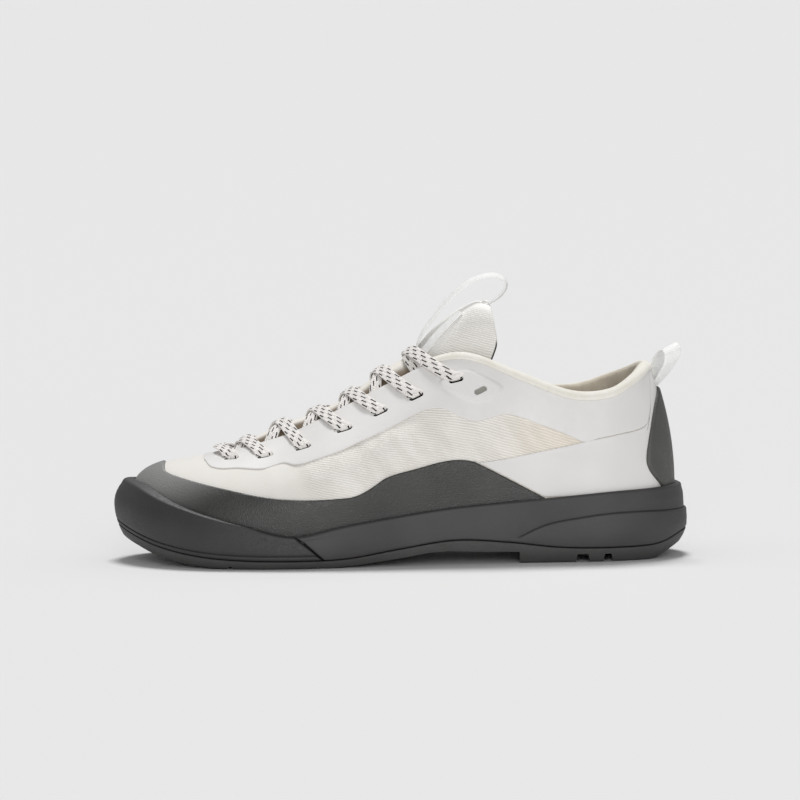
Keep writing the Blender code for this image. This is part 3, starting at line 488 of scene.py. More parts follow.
# Sections of the sole from heel to toe: its widest line, the floor side, the line where outsole and midsole
# meet, the rim of the side wall, and how far the wall tucks in below and above its belly
SOLE = Table(
    "from_heel lateral medial bottom joint rim belly tuck_low tuck_high",
    [
        (0, 0, 0, 6.5, 14.3, 37.6, 0.37, 4.5, 3.2),
        (4, -17, 17, 5.0, 13.0, 37.6, 0.37, 4.5, 3.2),
        (17, -31.5, 31.5, 0.6, 8.4, 37.2, 0.38, 4.0, 3.0),
        (41, -39, 38.5, 0, 7.5, 36.2, 0.40, 3.0, 2.2),
        (68, -40, 37, 0, 8.2, 34.0, 0.42, 2.5, 1.8),
        (95, -40.2, 34.5, 0, 11.3, 31.8, 0.45, 2.5, 1.6),
        (122, -42, 33.5, 0, 12.8, 29.6, 0.48, 2.5, 1.6),
        (150, -46, 36.5, 0, 9.1, 26.0, 0.50, 2.5, 1.6),
        (178, -51.5, 43.5, 0, 4.9, 21.8, 0.52, 2.5, 1.4),
        (205, -54.5, 49.7, 0, 4.3, 16.9, 0.54, 2.5, 1.2),
        (231, -52.7, 52.3, 0.1, 4.7, 22.6, 0.55, 2.5, 1.6),
        (254, -46.3, 51, 1.0, 6.4, 28.2, 0.56, 2.8, 2.2),
        (275, -32.5, 44.5, 4.0, 10.0, 34.4, 0.57, 3.5, 3.2),
        (291, -13.5, 33.5, 9.0, 15.0, 40.4, 0.58, 4.5, 5.0),
        (300, 11, 11, 12.0, 19.0, 42.6, 0.58, 5.0, 5.8),
    ],
)


def along(xs, ys, x):
    """A smooth curve through a table's points, held level beyond its ends."""
    x = np.clip(np.asarray(x, float), xs[0], xs[-1])
    slope = np.gradient(ys, xs)
    i = np.clip(np.searchsorted(xs, x, side="right") - 1, 0, len(xs) - 2)
    h = xs[i + 1] - xs[i]
    f = (x - xs[i]) / h
    start = ys[i] * (1 + 2 * f) * (1 - f) ** 2 + slope[i] * h * f * (1 - f) ** 2
    return start + ys[i + 1] * (3 - 2 * f) * f**2 + slope[i + 1] * h * (f - 1) * f**2


HEEL_LEAN = 2.6
HEEL_LEAN_TOP = 0.95
HEEL_LEAN_FOOT = 0.62
HEEL_LEAN_MOST = 1.05
HEEL_LEAN_END = 4.2


def upright(s, t):
    """The section at t for a panel's line s. Near the heel these lines lean, so a seam stands upright."""
    s, t = np.broadcast_arrays(np.asarray(s, float), np.asarray(t, float))
    wide = np.where(s > LOOP / 2, s - LOOP, s)
    section = np.abs(wide)
    ahead = (HEEL_LEAN_END - section) / (HEEL_LEAN_END - HEEL_LEAN_MOST)
    share = np.clip(np.minimum(section / HEEL_LEAN_MOST, ahead), 0, 1)
    drop = np.clip(HEEL_LEAN_TOP - t, 0, HEEL_LEAN_TOP - HEEL_LEAN_FOOT)
    return s + np.sign(wide) * HEEL_LEAN * share * drop


def t_at_outline(s, outline, raised=0.0):
    """Where the wall at each s crosses an outline that is drawn in side view, or a line raised over it."""
    found = []
    for place_s, more in np.broadcast(np.ravel(s), raised):
        points = upper_surface(upright(place_s, T_STEPS), T_STEPS)
        over = points[:, 2] - more - along(outline.from_heel, outline.height, SHOE_LENGTH / 2 - points[:, 0])
        i = int(np.argmax(over > 0)) if (over > 0).any() else len(over) - 1
        share = over[i] / (over[i] - over[i - 1]) if i and over[i] > 0 else 0.0
        found.append(T_STEPS[i] - share * T_STEPS[1])
    return np.array(found)


def s_at_place(from_heel, height, medial=False):
    """Where a wall point with this side-view place lies round the shoe."""
    steps = np.linspace(0.05, TOE - 0.05, 280)
    if medial:
        steps = LOOP - steps
    points = upper_surface(steps, t_at_height(steps, height))
    return float(np.interp(from_heel, np.maximum.accumulate(SHOE_LENGTH / 2 - points[:, 0]), steps))


def t_behind_rim(s):
    """Where a panel's lower edge ends, hidden behind the rim of the sole."""
    rim = around(same(SOLE.rim), s)
    return t_at_height(s, np.maximum(rim - TUCK_BELOW_RIM, around(same(FEATHER.height), s) + 1.0))


EDGE_SHARES = np.array([0, 0.05, 0.2, 0.5, 1.0])
PANEL_LEAST_T = 0.004
PANEL_MOST_SOFT = 0.45
PANEL_BACK_ROWS = 5
PANEL_BACK_SINK = 0.02


def panel(s, low, high, inside, outside, soft, rows, relief=None):
    """Rings of a panel on the upper, from t = low to t = high at each s, with edges rounded over a soft
    width, and how near each point is to a cut edge. relief raises its face."""
    high = np.maximum(high, low + PANEL_LEAST_T)
    line, low, high = s[:, None], low[:, None], high[:, None]
    span_t = low + (high - low) * np.linspace(0, 1, 13)
    chords = np.diff(upper_surface(upright(line, span_t), span_t), axis=1)
    span = np.linalg.norm(chords, axis=-1).sum(axis=1)[:, None]
    edge = np.minimum(soft, PANEL_MOST_SOFT * span)
    middle = edge + (span - 2 * edge) * np.linspace(0, 1, rows + 2)[1:-1]
    distance = np.concatenate([edge * EDGE_SHARES, middle, span - edge * EDGE_SHARES[::-1]], axis=1)
    t = low + (high - low) * distance / span
    inset = np.minimum(distance, span - distance) / edge
    lift = np.sqrt(1 - (1 - np.clip(inset, 0, 1)) ** 2)
    out = inside + (outside - inside) * lift
    s = upright(line, t)
    if relief is not None:
        out = out + lift * relief(upper_surface(s, t))
    back_t = high + (low - high) * np.linspace(0, 1, PANEL_BACK_ROWS)
    back = upper_point(upright(line, back_t), back_t, inside - PANEL_BACK_SINK)
    rim_near = np.concatenate([1 - np.clip(inset, 0, 1), np.ones(back_t.shape)], axis=1)
    return np.concatenate([upper_point(s, t, out), back], axis=1), rim_near


def rand_top(s):
    """The rand's upper edge: the side outline, and round a soft corner the toe cap's straight back edge."""
    side = t_at_outline(s, RAND_TOP)
    cap = []
    for place_s in s:
        from_heel = SHOE_LENGTH / 2 - upper_surface(place_s, T_STEPS)[:, 0]
        cap.append(np.interp(-TOE_CAP_BACK, np.maximum.accumulate(-from_heel), T_STEPS))
    cap = np.array(cap)
    return 0.5 * (side + cap + np.hypot(side - cap, TOE_CAP_ROUND))


def grained_rubber(name, dark, light, grain_mm, depth_mm, roughness, toe_highlight=None):
    """Matt rubber with a fine pebbled grain. An optional third colour is painted over the top of the toe as a
    highlight.
    """
    made = new_finish(name, {"Specular IOR Level": 0.6})
    dust = speckle(made, grain_mm * 2.4, 4)
    grain = calc(made, "MULTIPLY_ADD", dust, 0.8, cells(made, grain_mm))
    cloud = mottle(made, 26, 3, 0.35, 0.7)
    tone = mix(made, calc(made, "MULTIPLY_ADD", cloud, 0.35, calc(made, "MULTIPLY", dust, 0.65)), dark, light)
    # Painted highlight: lighter over the top of the toe, the more so higher up and further forward.
    if toe_highlight:
        height = calc(made, "DIVIDE", add(made, "SeparateXYZ", {0: spot_of(made)}, out="Z"), MM)
        to_toe = calc(made, "MULTIPLY_ADD", height, TOE_HIGHLIGHT_SLOPE, from_heel_of(made))
        tone = mix(made, ease(made, to_toe, *TOE_HIGHLIGHT_SPAN), tone, toe_highlight)
    feed(made, "Base Color", tone)
    feed(made, "Roughness", ease(made, dust, 0.3, 0.75, roughness - 0.08, roughness + 0.1))
    emboss(made, grain, depth_mm)
    return made


rand_dark, rand_light, rand_toe_highlight = colour(44, 44, 43), colour(63, 63, 61), colour(134, 134, 133)
rand_rubber = grained_rubber("grained_rubber", rand_dark, rand_light, 0.75, 0.17, 0.46, rand_toe_highlight)
rand_start = s_at_place(RAND_TOP.from_heel[0], RAND_TOP.height[0])
rand_s = np.linspace(rand_start, LOOP - rand_start, RAND_STATIONS)
rand_low, rand_high = t_behind_rim(rand_s), rand_top(rand_s)
rand_rings, _ = panel(rand_s, rand_low, rand_high, RAND_IN, RAND_OUT, RAND_SOFT, RAND_ROWS)
rand = skin("rand_sheet", rand_rings, rand_rubber)
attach(rand, "root")
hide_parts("rand")

# Quarter and eyestay film
# One die-cut panel of white satin film, heat-bonded over the mesh. It runs from the heel seam along both
# quarters and round the throat, is folded over the throat's edge, and has a slot for each run of the lace.
# A soft raised field is pressed into it at the top eyelet.
FILM_IN = 0.05
FILM_OUT = 0.62
FILM_SOFT = 0.28
FILM_TOP_T = 0.997
NEAR_TOP_T = 0.98
FILM_STATIONS = 680
FILM_ROWS = 30
SEAM_S = 1.05
SEAM_SPLIT = 0.014
SEAM_CORNER = 3.4
FILM_LOW = Table(
    "from_heel height",
    [
        (16, 72), (20, 69.6), (23.6, 68.3), (27.2, 67.2), (35, 65.8), (45.5, 63.9), (55.5, 62.2), (60, 64.3),
        (66.5, 67.2), (77, 71.3), (87.4, 75.3), (93.7, 76.9), (99.5, 76.2), (104.7, 74.5), (110, 73.7),
        (114, 74.4), (119, 76.7), (125, 79.8), (130.4, 80.8), (137, 79.4), (145, 75.8), (155.5, 70.5),
        (171, 63.7), (182, 58.9), (192, 55.7), (200, 53.3), (204.2, 52.7), (210, 53.4), (214, 52.3),
        (218.3, 50.9), (234, 50.5), (246, 50.3), (248.2, 50.8), (250.8, 52.9), (252.2, 54.7), (253, 60),
    ],
)
# The pressed field in side view: a leaning four-sided patch with round corners
FIELD_MIDDLE = (112.4, 91.6)
FIELD_HALF = (11.2, 8.0)
FIELD_TURN_DEG = 26.0
FIELD_ROUND = 4.5
FIELD_RISE = 0.95
FIELD_SLOPE = 1.1
# The folded edge in section: out of the wall, and up from its top edge
FOLD = [
    (0.62, 0.1), (0.58, 0.5), (0.3, 0.8), (-0.6, 0.92), (-1.7, 0.82), (-2.3, 0.4), (-2.42, -0.6),
    (-2.4, -2.2),
]
FOLD_BACK = [(-2.08, -2.2), (-2.08, 0.2), (0.02, 0.2)]


def seam_mm(s):
    """How far in front of the heel seam a place lies, in millimetres."""
    section = np.minimum(np.abs(s), LOOP - np.abs(s))
    t, step = 0.7, 0.5
    ahead, seam = (upper_surface(upright(line, t), t) for line in (SEAM_S + step, SEAM_S))
    return (section - SEAM_S) * np.linalg.norm(ahead - seam) / step


def corner_rise(s):
    """How far the panels' common edge climbs round its corner into the heel seam."""
    ahead = np.clip(seam_mm(s), 0, SEAM_CORNER)
    return SEAM_CORNER - np.sqrt(SEAM_CORNER**2 - (SEAM_CORNER - ahead) ** 2)


def field_relief(points):
    """How far the pressed field stands out at points of the upper."""
    turn = math.radians(FIELD_TURN_DEG)
    back = (FIELD_MIDDLE[0] - SHOE_LENGTH / 2 + points[..., 0]) / math.cos(turn)
    up = (points[..., 2] - FIELD_MIDDLE[1]) / math.sin(turn)
    run_past = np.abs(back - up) / 2 - FIELD_HALF[0] + FIELD_ROUND
    side_past = np.abs(back + up) / 2 - FIELD_HALF[1] + FIELD_ROUND
    past = np.hypot(np.maximum(run_past, 0), np.maximum(side_past, 0)) - FIELD_ROUND
    share = np.clip((FIELD_SLOPE - past) / FIELD_SLOPE, 0, 1)
    return FIELD_RISE * share * share * (3 - 2 * share)


def over_edge(s, section):
    """Points beside the upper's top edge: out of the wall, and up from the edge along the wall."""
    top = upper_surface(s, 1.0)
    normal = upper_normal(s, 1.0)
    up = unit(top - upper_surface(s, NEAR_TOP_T))
    return np.stack([top + out * normal + rise * up for out, rise in section], axis=1)


satin_coat = {"Specular IOR Level": 0.45, "Coat Weight": 0.08, "Coat Roughness": 0.35}
film_satin = new_finish("satin_film", satin_coat)
pull = speckle(film_satin, 3.5, 3)
cloud = mottle(film_satin, 40, 2, 0.35, 0.65)
white = mix(film_satin, cloud, colour(226, 224, 222), colour(232, 230, 228))
cut = ease(film_satin, mark_of(film_satin, "rim"), 0.4, 1.0)
feed(film_satin, "Base Color", mix(film_satin, cut, white, colour(205, 202, 198)))
feed(film_satin, "Roughness", ease(film_satin, pull, 0.3, 0.7, 0.42, 0.54))
emboss(film_satin, calc(film_satin, "MULTIPLY_ADD", speckle(film_satin, 0.8, 2), 0.4, pull), 0.05)

film_s = np.linspace(SEAM_S + SEAM_SPLIT, LOOP - SEAM_S - SEAM_SPLIT, FILM_STATIONS)
film_low = t_at_outline(film_s, FILM_LOW, corner_rise(film_s))
film_high = np.full(FILM_STATIONS, FILM_TOP_T)
film_layers = (FILM_IN, FILM_OUT, FILM_SOFT, FILM_ROWS)
film_rings, film_rim = panel(film_s, film_low, film_high, *film_layers, field_relief)
front_rows = film_rings.shape[1] - PANEL_BACK_ROWS - len(EDGE_SHARES) + 1
fold = over_edge(film_s, FOLD + FOLD_BACK)
back = film_rings[:, -PANEL_BACK_ROWS:]
no_rim = np.zeros((FILM_STATIONS, len(FOLD + FOLD_BACK)))
film = skin(
    "quarter_eyestay_film",
    np.concatenate([film_rings[:, :front_rows], fold, back], axis=1),
    film_satin,
    {"rim": np.concatenate([film_rim[:, :front_rows], no_rim, film_rim[:, -PANEL_BACK_ROWS:]], axis=1)},
)

# From the toe up; the last slot is a spare one that the lace leaves open
EYELETS = Table(
    "from_heel height slot_length turn_deg",
    [
        (237.2, 54.4, 8.0, 0),
        (219.4, 56.0, 8.4, 2),
        (199.5, 60.5, 8.4, -5),
        (178.0, 69.6, 8.4, -7),
        (159.2, 78.3, 8.0, 3),
        (140.6, 86.3, 7.8, 5),
        (119.9, 94.4, 7.6, 13),
        (107.6, 89.1, 6.9, 43),
    ],
)
SLOT_WIDTH = 3.0
SLOT_CUT_DEPTH = 2.4
SLOT_CUT_OUT = 0.9


def wall_place(from_heel, height, medial):
    """Where a side-view place lies on the wall, as s and t."""
    s = s_at_place(from_heel, height, medial)
    return s, float(t_at_height(s, height))


def eyelet_axes(i, medial):
    """At an eyelet: along its slot, from the slot towards the throat, and out of the film."""
    s, t = at_eyelet[i, medial]
    out = upper_normal(np.float64(s), np.float64(t))
    step = 0.05
    along_throat = unit(upper_surface(s - step, t) - upper_surface(s + step, t))
    turn = math.radians(-EYELETS.turn_deg[i] if medial else EYELETS.turn_deg[i])
    along_slot = math.cos(turn) * along_throat + math.sin(turn) * np.cross(out, along_throat)
    return along_slot, np.cross(out, along_slot), out


at_eyelet = {
    (i, medial): wall_place(EYELETS.from_heel[i], EYELETS.height[i], medial)
    for i in range(len(EYELETS.height))
    for medial in (False, True)
}


def slot_block(name, i, medial, grow, depth, middle_out):
    """A round-ended block in an eyelet's place, as long and as wide as the slot and a little more."""
    along_slot, to_throat, out = eyelet_axes(i, medial)
    radius = SLOT_WIDTH / 2 + grow
    bpy.ops.object.select_all(action="DESELECT")
    bpy.ops.mesh.primitive_cylinder_add(vertices=28, radius=radius, depth=depth)
    block = bpy.context.object
    block.name = block.data.name = name
    stretch = (EYELETS.slot_length[i] - SLOT_WIDTH) / 2
    centre = upper_point(*at_eyelet[i, medial], middle_out)
    for v in block.data.vertices:
        x = v.co.x + math.copysign(stretch, v.co.x) * (abs(v.co.x) > 1e-4)
        v.co = Vector(centre + x * along_slot + v.co.y * to_throat + v.co.z * out) * MM
    return block


def joined(blocks, name):
    bpy.ops.object.select_all(action="DESELECT")
    for block in blocks:
        block.select_set(True)
    bpy.context.view_layer.objects.active = blocks[0]
    bpy.ops.object.join()
    blocks[0].name = blocks[0].data.name = name
    return blocks[0]


def cut_away(piece, tool):
    """Takes a tool's shape out of a piece, and removes the tool."""
    bpy.ops.object.select_all(action="DESELECT")
    piece.select_set(True)
    bpy.context.view_layer.objects.active = piece
    step = piece.modifiers.new("cut", "BOOLEAN")
    step.operation = "DIFFERENCE"
    step.object = tool
    step.use_self = True
    bpy.ops.object.modifier_apply(modifier=step.name)
    bpy.data.objects.remove(tool)


def blocks_at(numbers, name, grow, depth, middle_out):
    """Blocks in the eyelets' places on both sides, as one body."""
    places = [(i, medial) for medial in (False, True) for i in numbers]
    return joined([slot_block(name, *spot, grow, depth, middle_out) for spot in places], name)


laced = range(len(EYELETS.height) - 1)
spare = [len(EYELETS.height) - 1]
cut_away(film, blocks_at([*laced, *spare], "slots", 0.0, SLOT_CUT_DEPTH, SLOT_CUT_OUT))
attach(film, "root")
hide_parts("quarter_film")

# Painted shade in the slots
# Thin sheets under the film's slots, as painted shade: near-black under the lace, where the slots lie in
# shadow, and grey in the spare slot, for the shaded lining seen through it.
SHADE_SHEET_MARGIN = 1.1
SHADE_SHEET_THICKNESS = 0.16
SHADE_SHEET_OUT = 0.02


def slot_shade_sheet(name, numbers, dark, light):
    weave = new_finish(name, {"Roughness": 0.9, "Specular IOR Level": 0.2})
    feed(weave, "Base Color", mix(weave, speckle(weave, 0.6), dark, light))
    strip = blocks_at(numbers, name, SHADE_SHEET_MARGIN, SHADE_SHEET_THICKNESS, SHADE_SHEET_OUT)
    strip.data.materials.clear()
    strip.data.materials.append(weave)
    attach(strip, "root")


# Painted shade: near-black for the laced slots, grey for the spare one.
slot_shade_sheet("painted_eyelet_slot_shade", laced, colour(12, 12, 11), colour(26, 25, 24))
slot_shade_sheet("painted_spare_slot_shade", spare, colour(150, 149, 143), colour(166, 165, 158))

# Heel panel
# A second piece of the white film, bonded round the heel below the mesh window and up to the collar. Its edge
# meets the quarter film in a fine open seam with a round corner.
PANEL_TOP = Table(
    "from_heel height",
    [
        (16, 71.85), (20, 69.45), (23.6, 68.15), (27.2, 67.05), (35, 65.65), (45.5, 63.75), (55.5, 61.8),
        (64, 60.0), (72, 58.5), (87.4, 55.6), (98, 53.7), (107, 52.7), (112, 52.5), (120, 50.0),
    ],
)
PANEL_IN = FILM_IN + 0.03
PANEL_TOP_T = 0.995
PANEL_ROWS = 40
RAND_MARGIN = 0.5
RAND_FROM_S = 3.0
CORNER_S = SEAM_S + 0.35
panel_end = s_at_place(PANEL_TOP.from_heel[-2], PANEL_TOP.height[-2] - 1.0)
side_s = np.concatenate([
    np.linspace(panel_end, CORNER_S, 130, endpoint=False),
    np.linspace(CORNER_S, SEAM_S, 24),
    np.linspace(SEAM_S - SEAM_SPLIT, 0, 34),
])
panel_s = np.concatenate([side_s, -side_s[-2::-1]])
over_rand = np.where(np.abs(panel_s) > RAND_FROM_S, t_at_outline(panel_s, RAND_TOP, RAND_MARGIN), 0)
panel_low = np.maximum(t_behind_rim(panel_s), over_rand)
side_top = t_at_outline(panel_s, PANEL_TOP, corner_rise(panel_s))
panel_high = np.where(np.abs(panel_s) < SEAM_S - SEAM_SPLIT / 2, PANEL_TOP_T, side_top)
panel_rings, panel_rim = panel(panel_s, panel_low, panel_high, PANEL_IN, FILM_OUT, FILM_SOFT, PANEL_ROWS)
heel_panel = skin("heel_film", panel_rings, film_satin, {"rim": panel_rim})
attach(heel_panel, "root")
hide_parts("heel_panel")

# Heel counter
# A pointed blade of dark rubber, moulded with a rounded edge and cemented over the heel film. Its foot runs
# down behind the rim of the sole.
COUNTER_IN = 0.7
COUNTER_OUT = 2.2
COUNTER_SOFT = 1.6
COUNTER_SINK = 0.1
COUNTER_ROWS = 110
COUNTER_COLUMNS = 61
COUNTER_END_S = 3.0
COUNTER_POINT_SLOPE = 0.8
COUNTER_POINT_LEAST = 0.05
COUNTER_BACK_STEP = 6
COUNTER = Table(
    "height half_width",
    [
        (36.0, 18.5), (38.5, 20.6), (43, 24), (49, 25.8), (54, 25.4), (60, 23.9), (67, 21.3), (75, 17),
        (80, 13), (84, 8.5), (86, 5.2), (87.2, 2.4),
    ],
)
counter_rubber = grained_rubber("counter_rubber", colour(66, 66, 63), colour(88, 87, 84), 0.7, 0.1, 0.54)
counter_z = np.linspace(COUNTER.height[0], COUNTER.height[-1], COUNTER_ROWS)
counter_half = along(COUNTER.height, COUNTER.half_width, counter_z)
counter_across = np.sin(np.linspace(-0.5, 0.5, COUNTER_COLUMNS) * math.pi)
heel_steps = np.linspace(0, COUNTER_END_S, 240)
counter_rings = []
for height, half in zip(counter_z, counter_half):
    wall = upper_surface(heel_steps, t_at_height(heel_steps, height))
    end_s = np.interp(half, np.maximum.accumulate(np.abs(wall[:, 1] + MID_Y)), heel_steps)
    row_s = counter_across * end_s
    row_t = t_at_height(row_s, height)
    from_point = (COUNTER.height[-1] - height) * COUNTER_POINT_SLOPE + COUNTER_POINT_LEAST
    from_edge = np.minimum((1 - np.abs(counter_across)) * half, from_point)
    lift = np.sqrt(1 - (1 - np.clip(from_edge / COUNTER_SOFT, 0, 1)) ** 2)
    front = upper_point(row_s, row_t, COUNTER_IN + (COUNTER_OUT - COUNTER_IN) * lift)
    back_s, back_t = row_s[::-COUNTER_BACK_STEP], row_t[::-COUNTER_BACK_STEP]
    behind = upper_point(back_s, back_t, COUNTER_IN - COUNTER_SINK)
    counter_rings.append(np.concatenate([front, behind]))
counter = skin("counter_blade", counter_rings, counter_rubber, sharp_deg=60)
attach(counter, "root")
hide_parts("heel_counter")

# Tongue
# A padded tongue of ribbed knit over thin foam, sewn under the vamp at its foot. Its sides wrap back inside
# the collar, and its free end is a soft round roll. Its shape is given, so no simulation runs for it.
TONGUE = Table(
    "from_heel height half_width wrap tilt thickness",
    [
        (249, 51.6, 7, 1.0, 78, 1.4),
        (240, 53.0, 8.5, 2.2, 76, 1.8),
        (230, 61.4, 10.5, 8.0, 68, 2.6),
        (211, 70.2, 13.5, 10.0, 63, 3.4),
        (192, 76.8, 16, 10.5, 61, 3.8),
        (175, 85.8, 17, 12, 57, 4.2),
        (159, 97.0, 17.8, 18, 44, 4.6),
        (143.5, 106.8, 18.5, 35, 24, 5.0),
        (132.5, 118.6, 19, 34, 16, 5.5),
        (121.5, 127.3, 18, 22, 14, 5.5),
        (114.6, 131.5, 15.0, 13.6, 14, 5.2),
        (109.4, 133.5, 11.5, 7.4, 16, 4.6),
        (106.0, 133.2, 8.0, 2.8, 20, 4.0),
    ],
)
TONGUE_STATIONS = 150
TONGUE_SIDES = 72
TONGUE_ARC_DEG = 75.0
TONGUE_SQUARE = 0.36
TONGUE_ROUND = 0.7
TONGUE_SIDE_THINNING = 0.5
TONGUE_INWARD_SHARE = 0.8
TONGUE_ROLL = 1.3
TONGUE_ROLL_STEPS = 7
TONGUE_ROLL_CLOSE = 0.97
TONGUE_ROLL_WAY = np.array([0.3, 0.0, 0.95])
TONGUE_RIB = 1.3
TONGUE_RIB_DEPTH = 0.12
# Along the crest from the tip, the ribs begin and end, and the dark edge line begins; across, from the crest
# (0) to the edge (1), the ribs come in, the painted throat shade comes in, and the dark edge line lies
TONGUE_RIBS_START = (6.0, 13.0)
TONGUE_RIBS_END = (40.0, 54.0)
TONGUE_DARK_EDGE_START = (26.0, 30.0)
TONGUE_RIBS_ACROSS = (0.3, 0.62)
TONGUE_CREST_RIB_SHARE = 0.25
TONGUE_SHADE_ACROSS = (0.12, 0.5)
TONGUE_DARK_EDGE_ACROSS = (0.985, 0.995)
THROAT_MIDDLE = Table("from_heel y", [(110, 0), (152, 0.7), (205, 2.0), (239, 3.3)])


def tongue_row(column, r):
    return along(np.arange(len(column), dtype=float), column, r)


def throat_middle(from_heel):
    """The throat's middle line, which runs to the inner side towards the toe."""
    return np.interp(from_heel, THROAT_MIDDLE.from_heel, THROAT_MIDDLE.y)


def tongue_face(r, v, deep=0.0):
    """A point of the tongue: r counts its sections, v runs from -1 (outer side) to 1, deep is under its
    face."""
    r, v = np.broadcast_arrays(np.asarray(r, float), np.asarray(v, float))
    arc = math.radians(TONGUE_ARC_DEG)
    angle = v * arc
    tilt = np.radians(tongue_row(TONGUE.tilt, r))
    back = tongue_row(TONGUE.wrap, r) * (1 - np.cos(angle)) / (1 - math.cos(arc))
    half = tongue_row(TONGUE.half_width, r)
    y = half * np.sin(angle) / math.sin(arc) + throat_middle(tongue_row(TONGUE.from_heel, r))
    inward = angle * TONGUE_INWARD_SHARE
    lean = deep * np.cos(inward) + back
    u = tongue_row(TONGUE.from_heel, r) - lean * np.cos(tilt)
    z = tongue_row(TONGUE.height, r) - lean * np.sin(tilt)
    return place(u, y - deep * np.sin(inward), z)


def power(value, exponent):
    return np.sign(value) * np.abs(value) ** exponent


tongue_knit = new_finish("ribbed_knit", {"Roughness": 0.9, "Sheen Weight": 0.2, "Specular IOR Level": 0.25})
below_top = mark_of(tongue_knit, "below_top")
wobble = calc(tongue_knit, "MULTIPLY_ADD", speckle(tongue_knit, 9), 1.2, below_top)
beside_crest = calc(tongue_knit, "ABSOLUTE", mark_of(tongue_knit, "across"))
beside_share = ease(tongue_knit, beside_crest, *TONGUE_RIBS_ACROSS, TONGUE_CREST_RIB_SHARE, 1.0)
rib_share = calc(tongue_knit, "MULTIPLY", ease(tongue_knit, below_top, *TONGUE_RIBS_START), beside_share)
plain_share = ease(tongue_knit, below_top, *TONGUE_RIBS_END)
rib = calc(tongue_knit, "MULTIPLY", wave(tongue_knit, wobble, TONGUE_RIB), rib_share)
rib = calc(tongue_knit, "MULTIPLY", rib, calc(tongue_knit, "SUBTRACT", 1.0, plain_share))
knit = calc(tongue_knit, "MULTIPLY_ADD", cells(tongue_knit, 0.7), 0.4, rib)
shade = calc(tongue_knit, "MULTIPLY_ADD", rib, 0.5, 0.5)
ribbed = mix(tongue_knit, shade, colour(229, 226, 220), colour(252, 250, 246))
# Painted shade: the lower tongue turns tan towards its edges, where it dips into the throat.
throat_shade = ease(tongue_knit, beside_crest, *TONGUE_SHADE_ACROSS)
plain = mix(tongue_knit, throat_shade, colour(240, 236, 228), colour(118, 104, 86))
cloth = mix(tongue_knit, rib_share, colour(254, 253, 250), ribbed)
cloth = mix(tongue_knit, plain_share, cloth, plain)
# A near-black line along the tongue's edges, from a little below its top downwards.
dark_edge_line = ease(tongue_knit, beside_crest, *TONGUE_DARK_EDGE_ACROSS)
dark_edge_line = calc(tongue_knit, "MULTIPLY", dark_edge_line, ease(tongue_knit, below_top, *TONGUE_DARK_EDGE_START))
feed(tongue_knit, "Base Color", mix(tongue_knit, dark_edge_line, cloth, colour(40, 39, 37)))
emboss(tongue_knit, knit, TONGUE_RIB_DEPTH)

tongue_r = np.linspace(0, len(TONGUE.from_heel) - 1, TONGUE_STATIONS)
turn = np.linspace(0, 2 * math.pi, TONGUE_SIDES, endpoint=False)
ring_v = power(np.cos(turn), TONGUE_SQUARE)
ring_deep = 0.5 - 0.5 * power(np.sin(turn), TONGUE_ROUND)
thinner = 1 - TONGUE_SIDE_THINNING * np.abs(ring_v) ** 3
thick = tongue_row(TONGUE.thickness, tongue_r)[:, None] * thinner
tongue_rings = list(tongue_face(tongue_r[:, None], ring_v, thick * ring_deep))
crest = tongue_face(tongue_r, 0.0)
crest_run = np.concatenate([[0], np.linalg.norm(np.diff(crest, axis=0), axis=1).cumsum()])
last_ring = tongue_rings[-1]
last_centre = last_ring.mean(axis=0)
roll_shares = np.arange(1, TONGUE_ROLL_STEPS + 1) / TONGUE_ROLL_STEPS
for share in roll_shares:
    shrink = math.sqrt(1 - TONGUE_ROLL_CLOSE * share**2)
    risen = TONGUE_ROLL * math.sin(share * math.pi / 2) * TONGUE_ROLL_WAY
    tongue_rings.append(last_centre + (last_ring - last_centre) * shrink + risen)
runs = np.concatenate([crest_run, crest_run[-1] + TONGUE_ROLL * roll_shares])
tongue_shape = (len(runs), len(turn))
tongue_marks = {
    "below_top": np.broadcast_to(runs[-1] - runs[:, None], tongue_shape),
    "across": np.broadcast_to(ring_v, tongue_shape),
}
tongue = skin("tongue_pad", tongue_rings, tongue_knit, tongue_marks)
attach(tongue, "root")
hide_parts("tongue")

# Collar
# A foam roll covered in cream jersey, sewn along the top edge from one side of the throat to the other. It
# stands over the film's edge outside and thins out down the inside of the heel. Its shape is given as well.
COLLAR_START = 132.0
COLLAR_SECTION = [
    (0.9, -0.7), (1.5, 0.6), (1.25, 2.3), (0.0, 3.8), (-2.2, 4.3), (-4.3, 3.5), (-5.6, 1.2), (-6.0, -5.0),
    (-5.5, -11.0), (-4.3, -17.0), (-3.1, -21.0), (-2.55, -12.0), (-2.5, -3.0), (-1.3, 0.98), (0.4, 0.98),
]
COLLAR_STATIONS = 300
COLLAR_SIDES = 48
COLLAR_LINING_OUT = -2.5
COLLAR_TAPER = 2.2
COLLAR_THINNEST = 0.25
COLLAR_SHADE_FROM = -2.0
COLLAR_SHADE_FADE = 1.8


def round_curve(points, count):
    """count points along a smooth closed curve through the given ones."""
    points = np.asarray(points, float)
    at = np.linspace(0, len(points), count, endpoint=False)
    i = at.astype(int)
    f = (at - i)[:, None]
    a, b, c, d = (points[(i + k) % len(points)] for k in (-1, 0, 1, 2))
    return b + 0.5 * f * (c - a + f * (2 * a - 5 * b + 4 * c - d + f * (3 * (b - c) + d - a)))


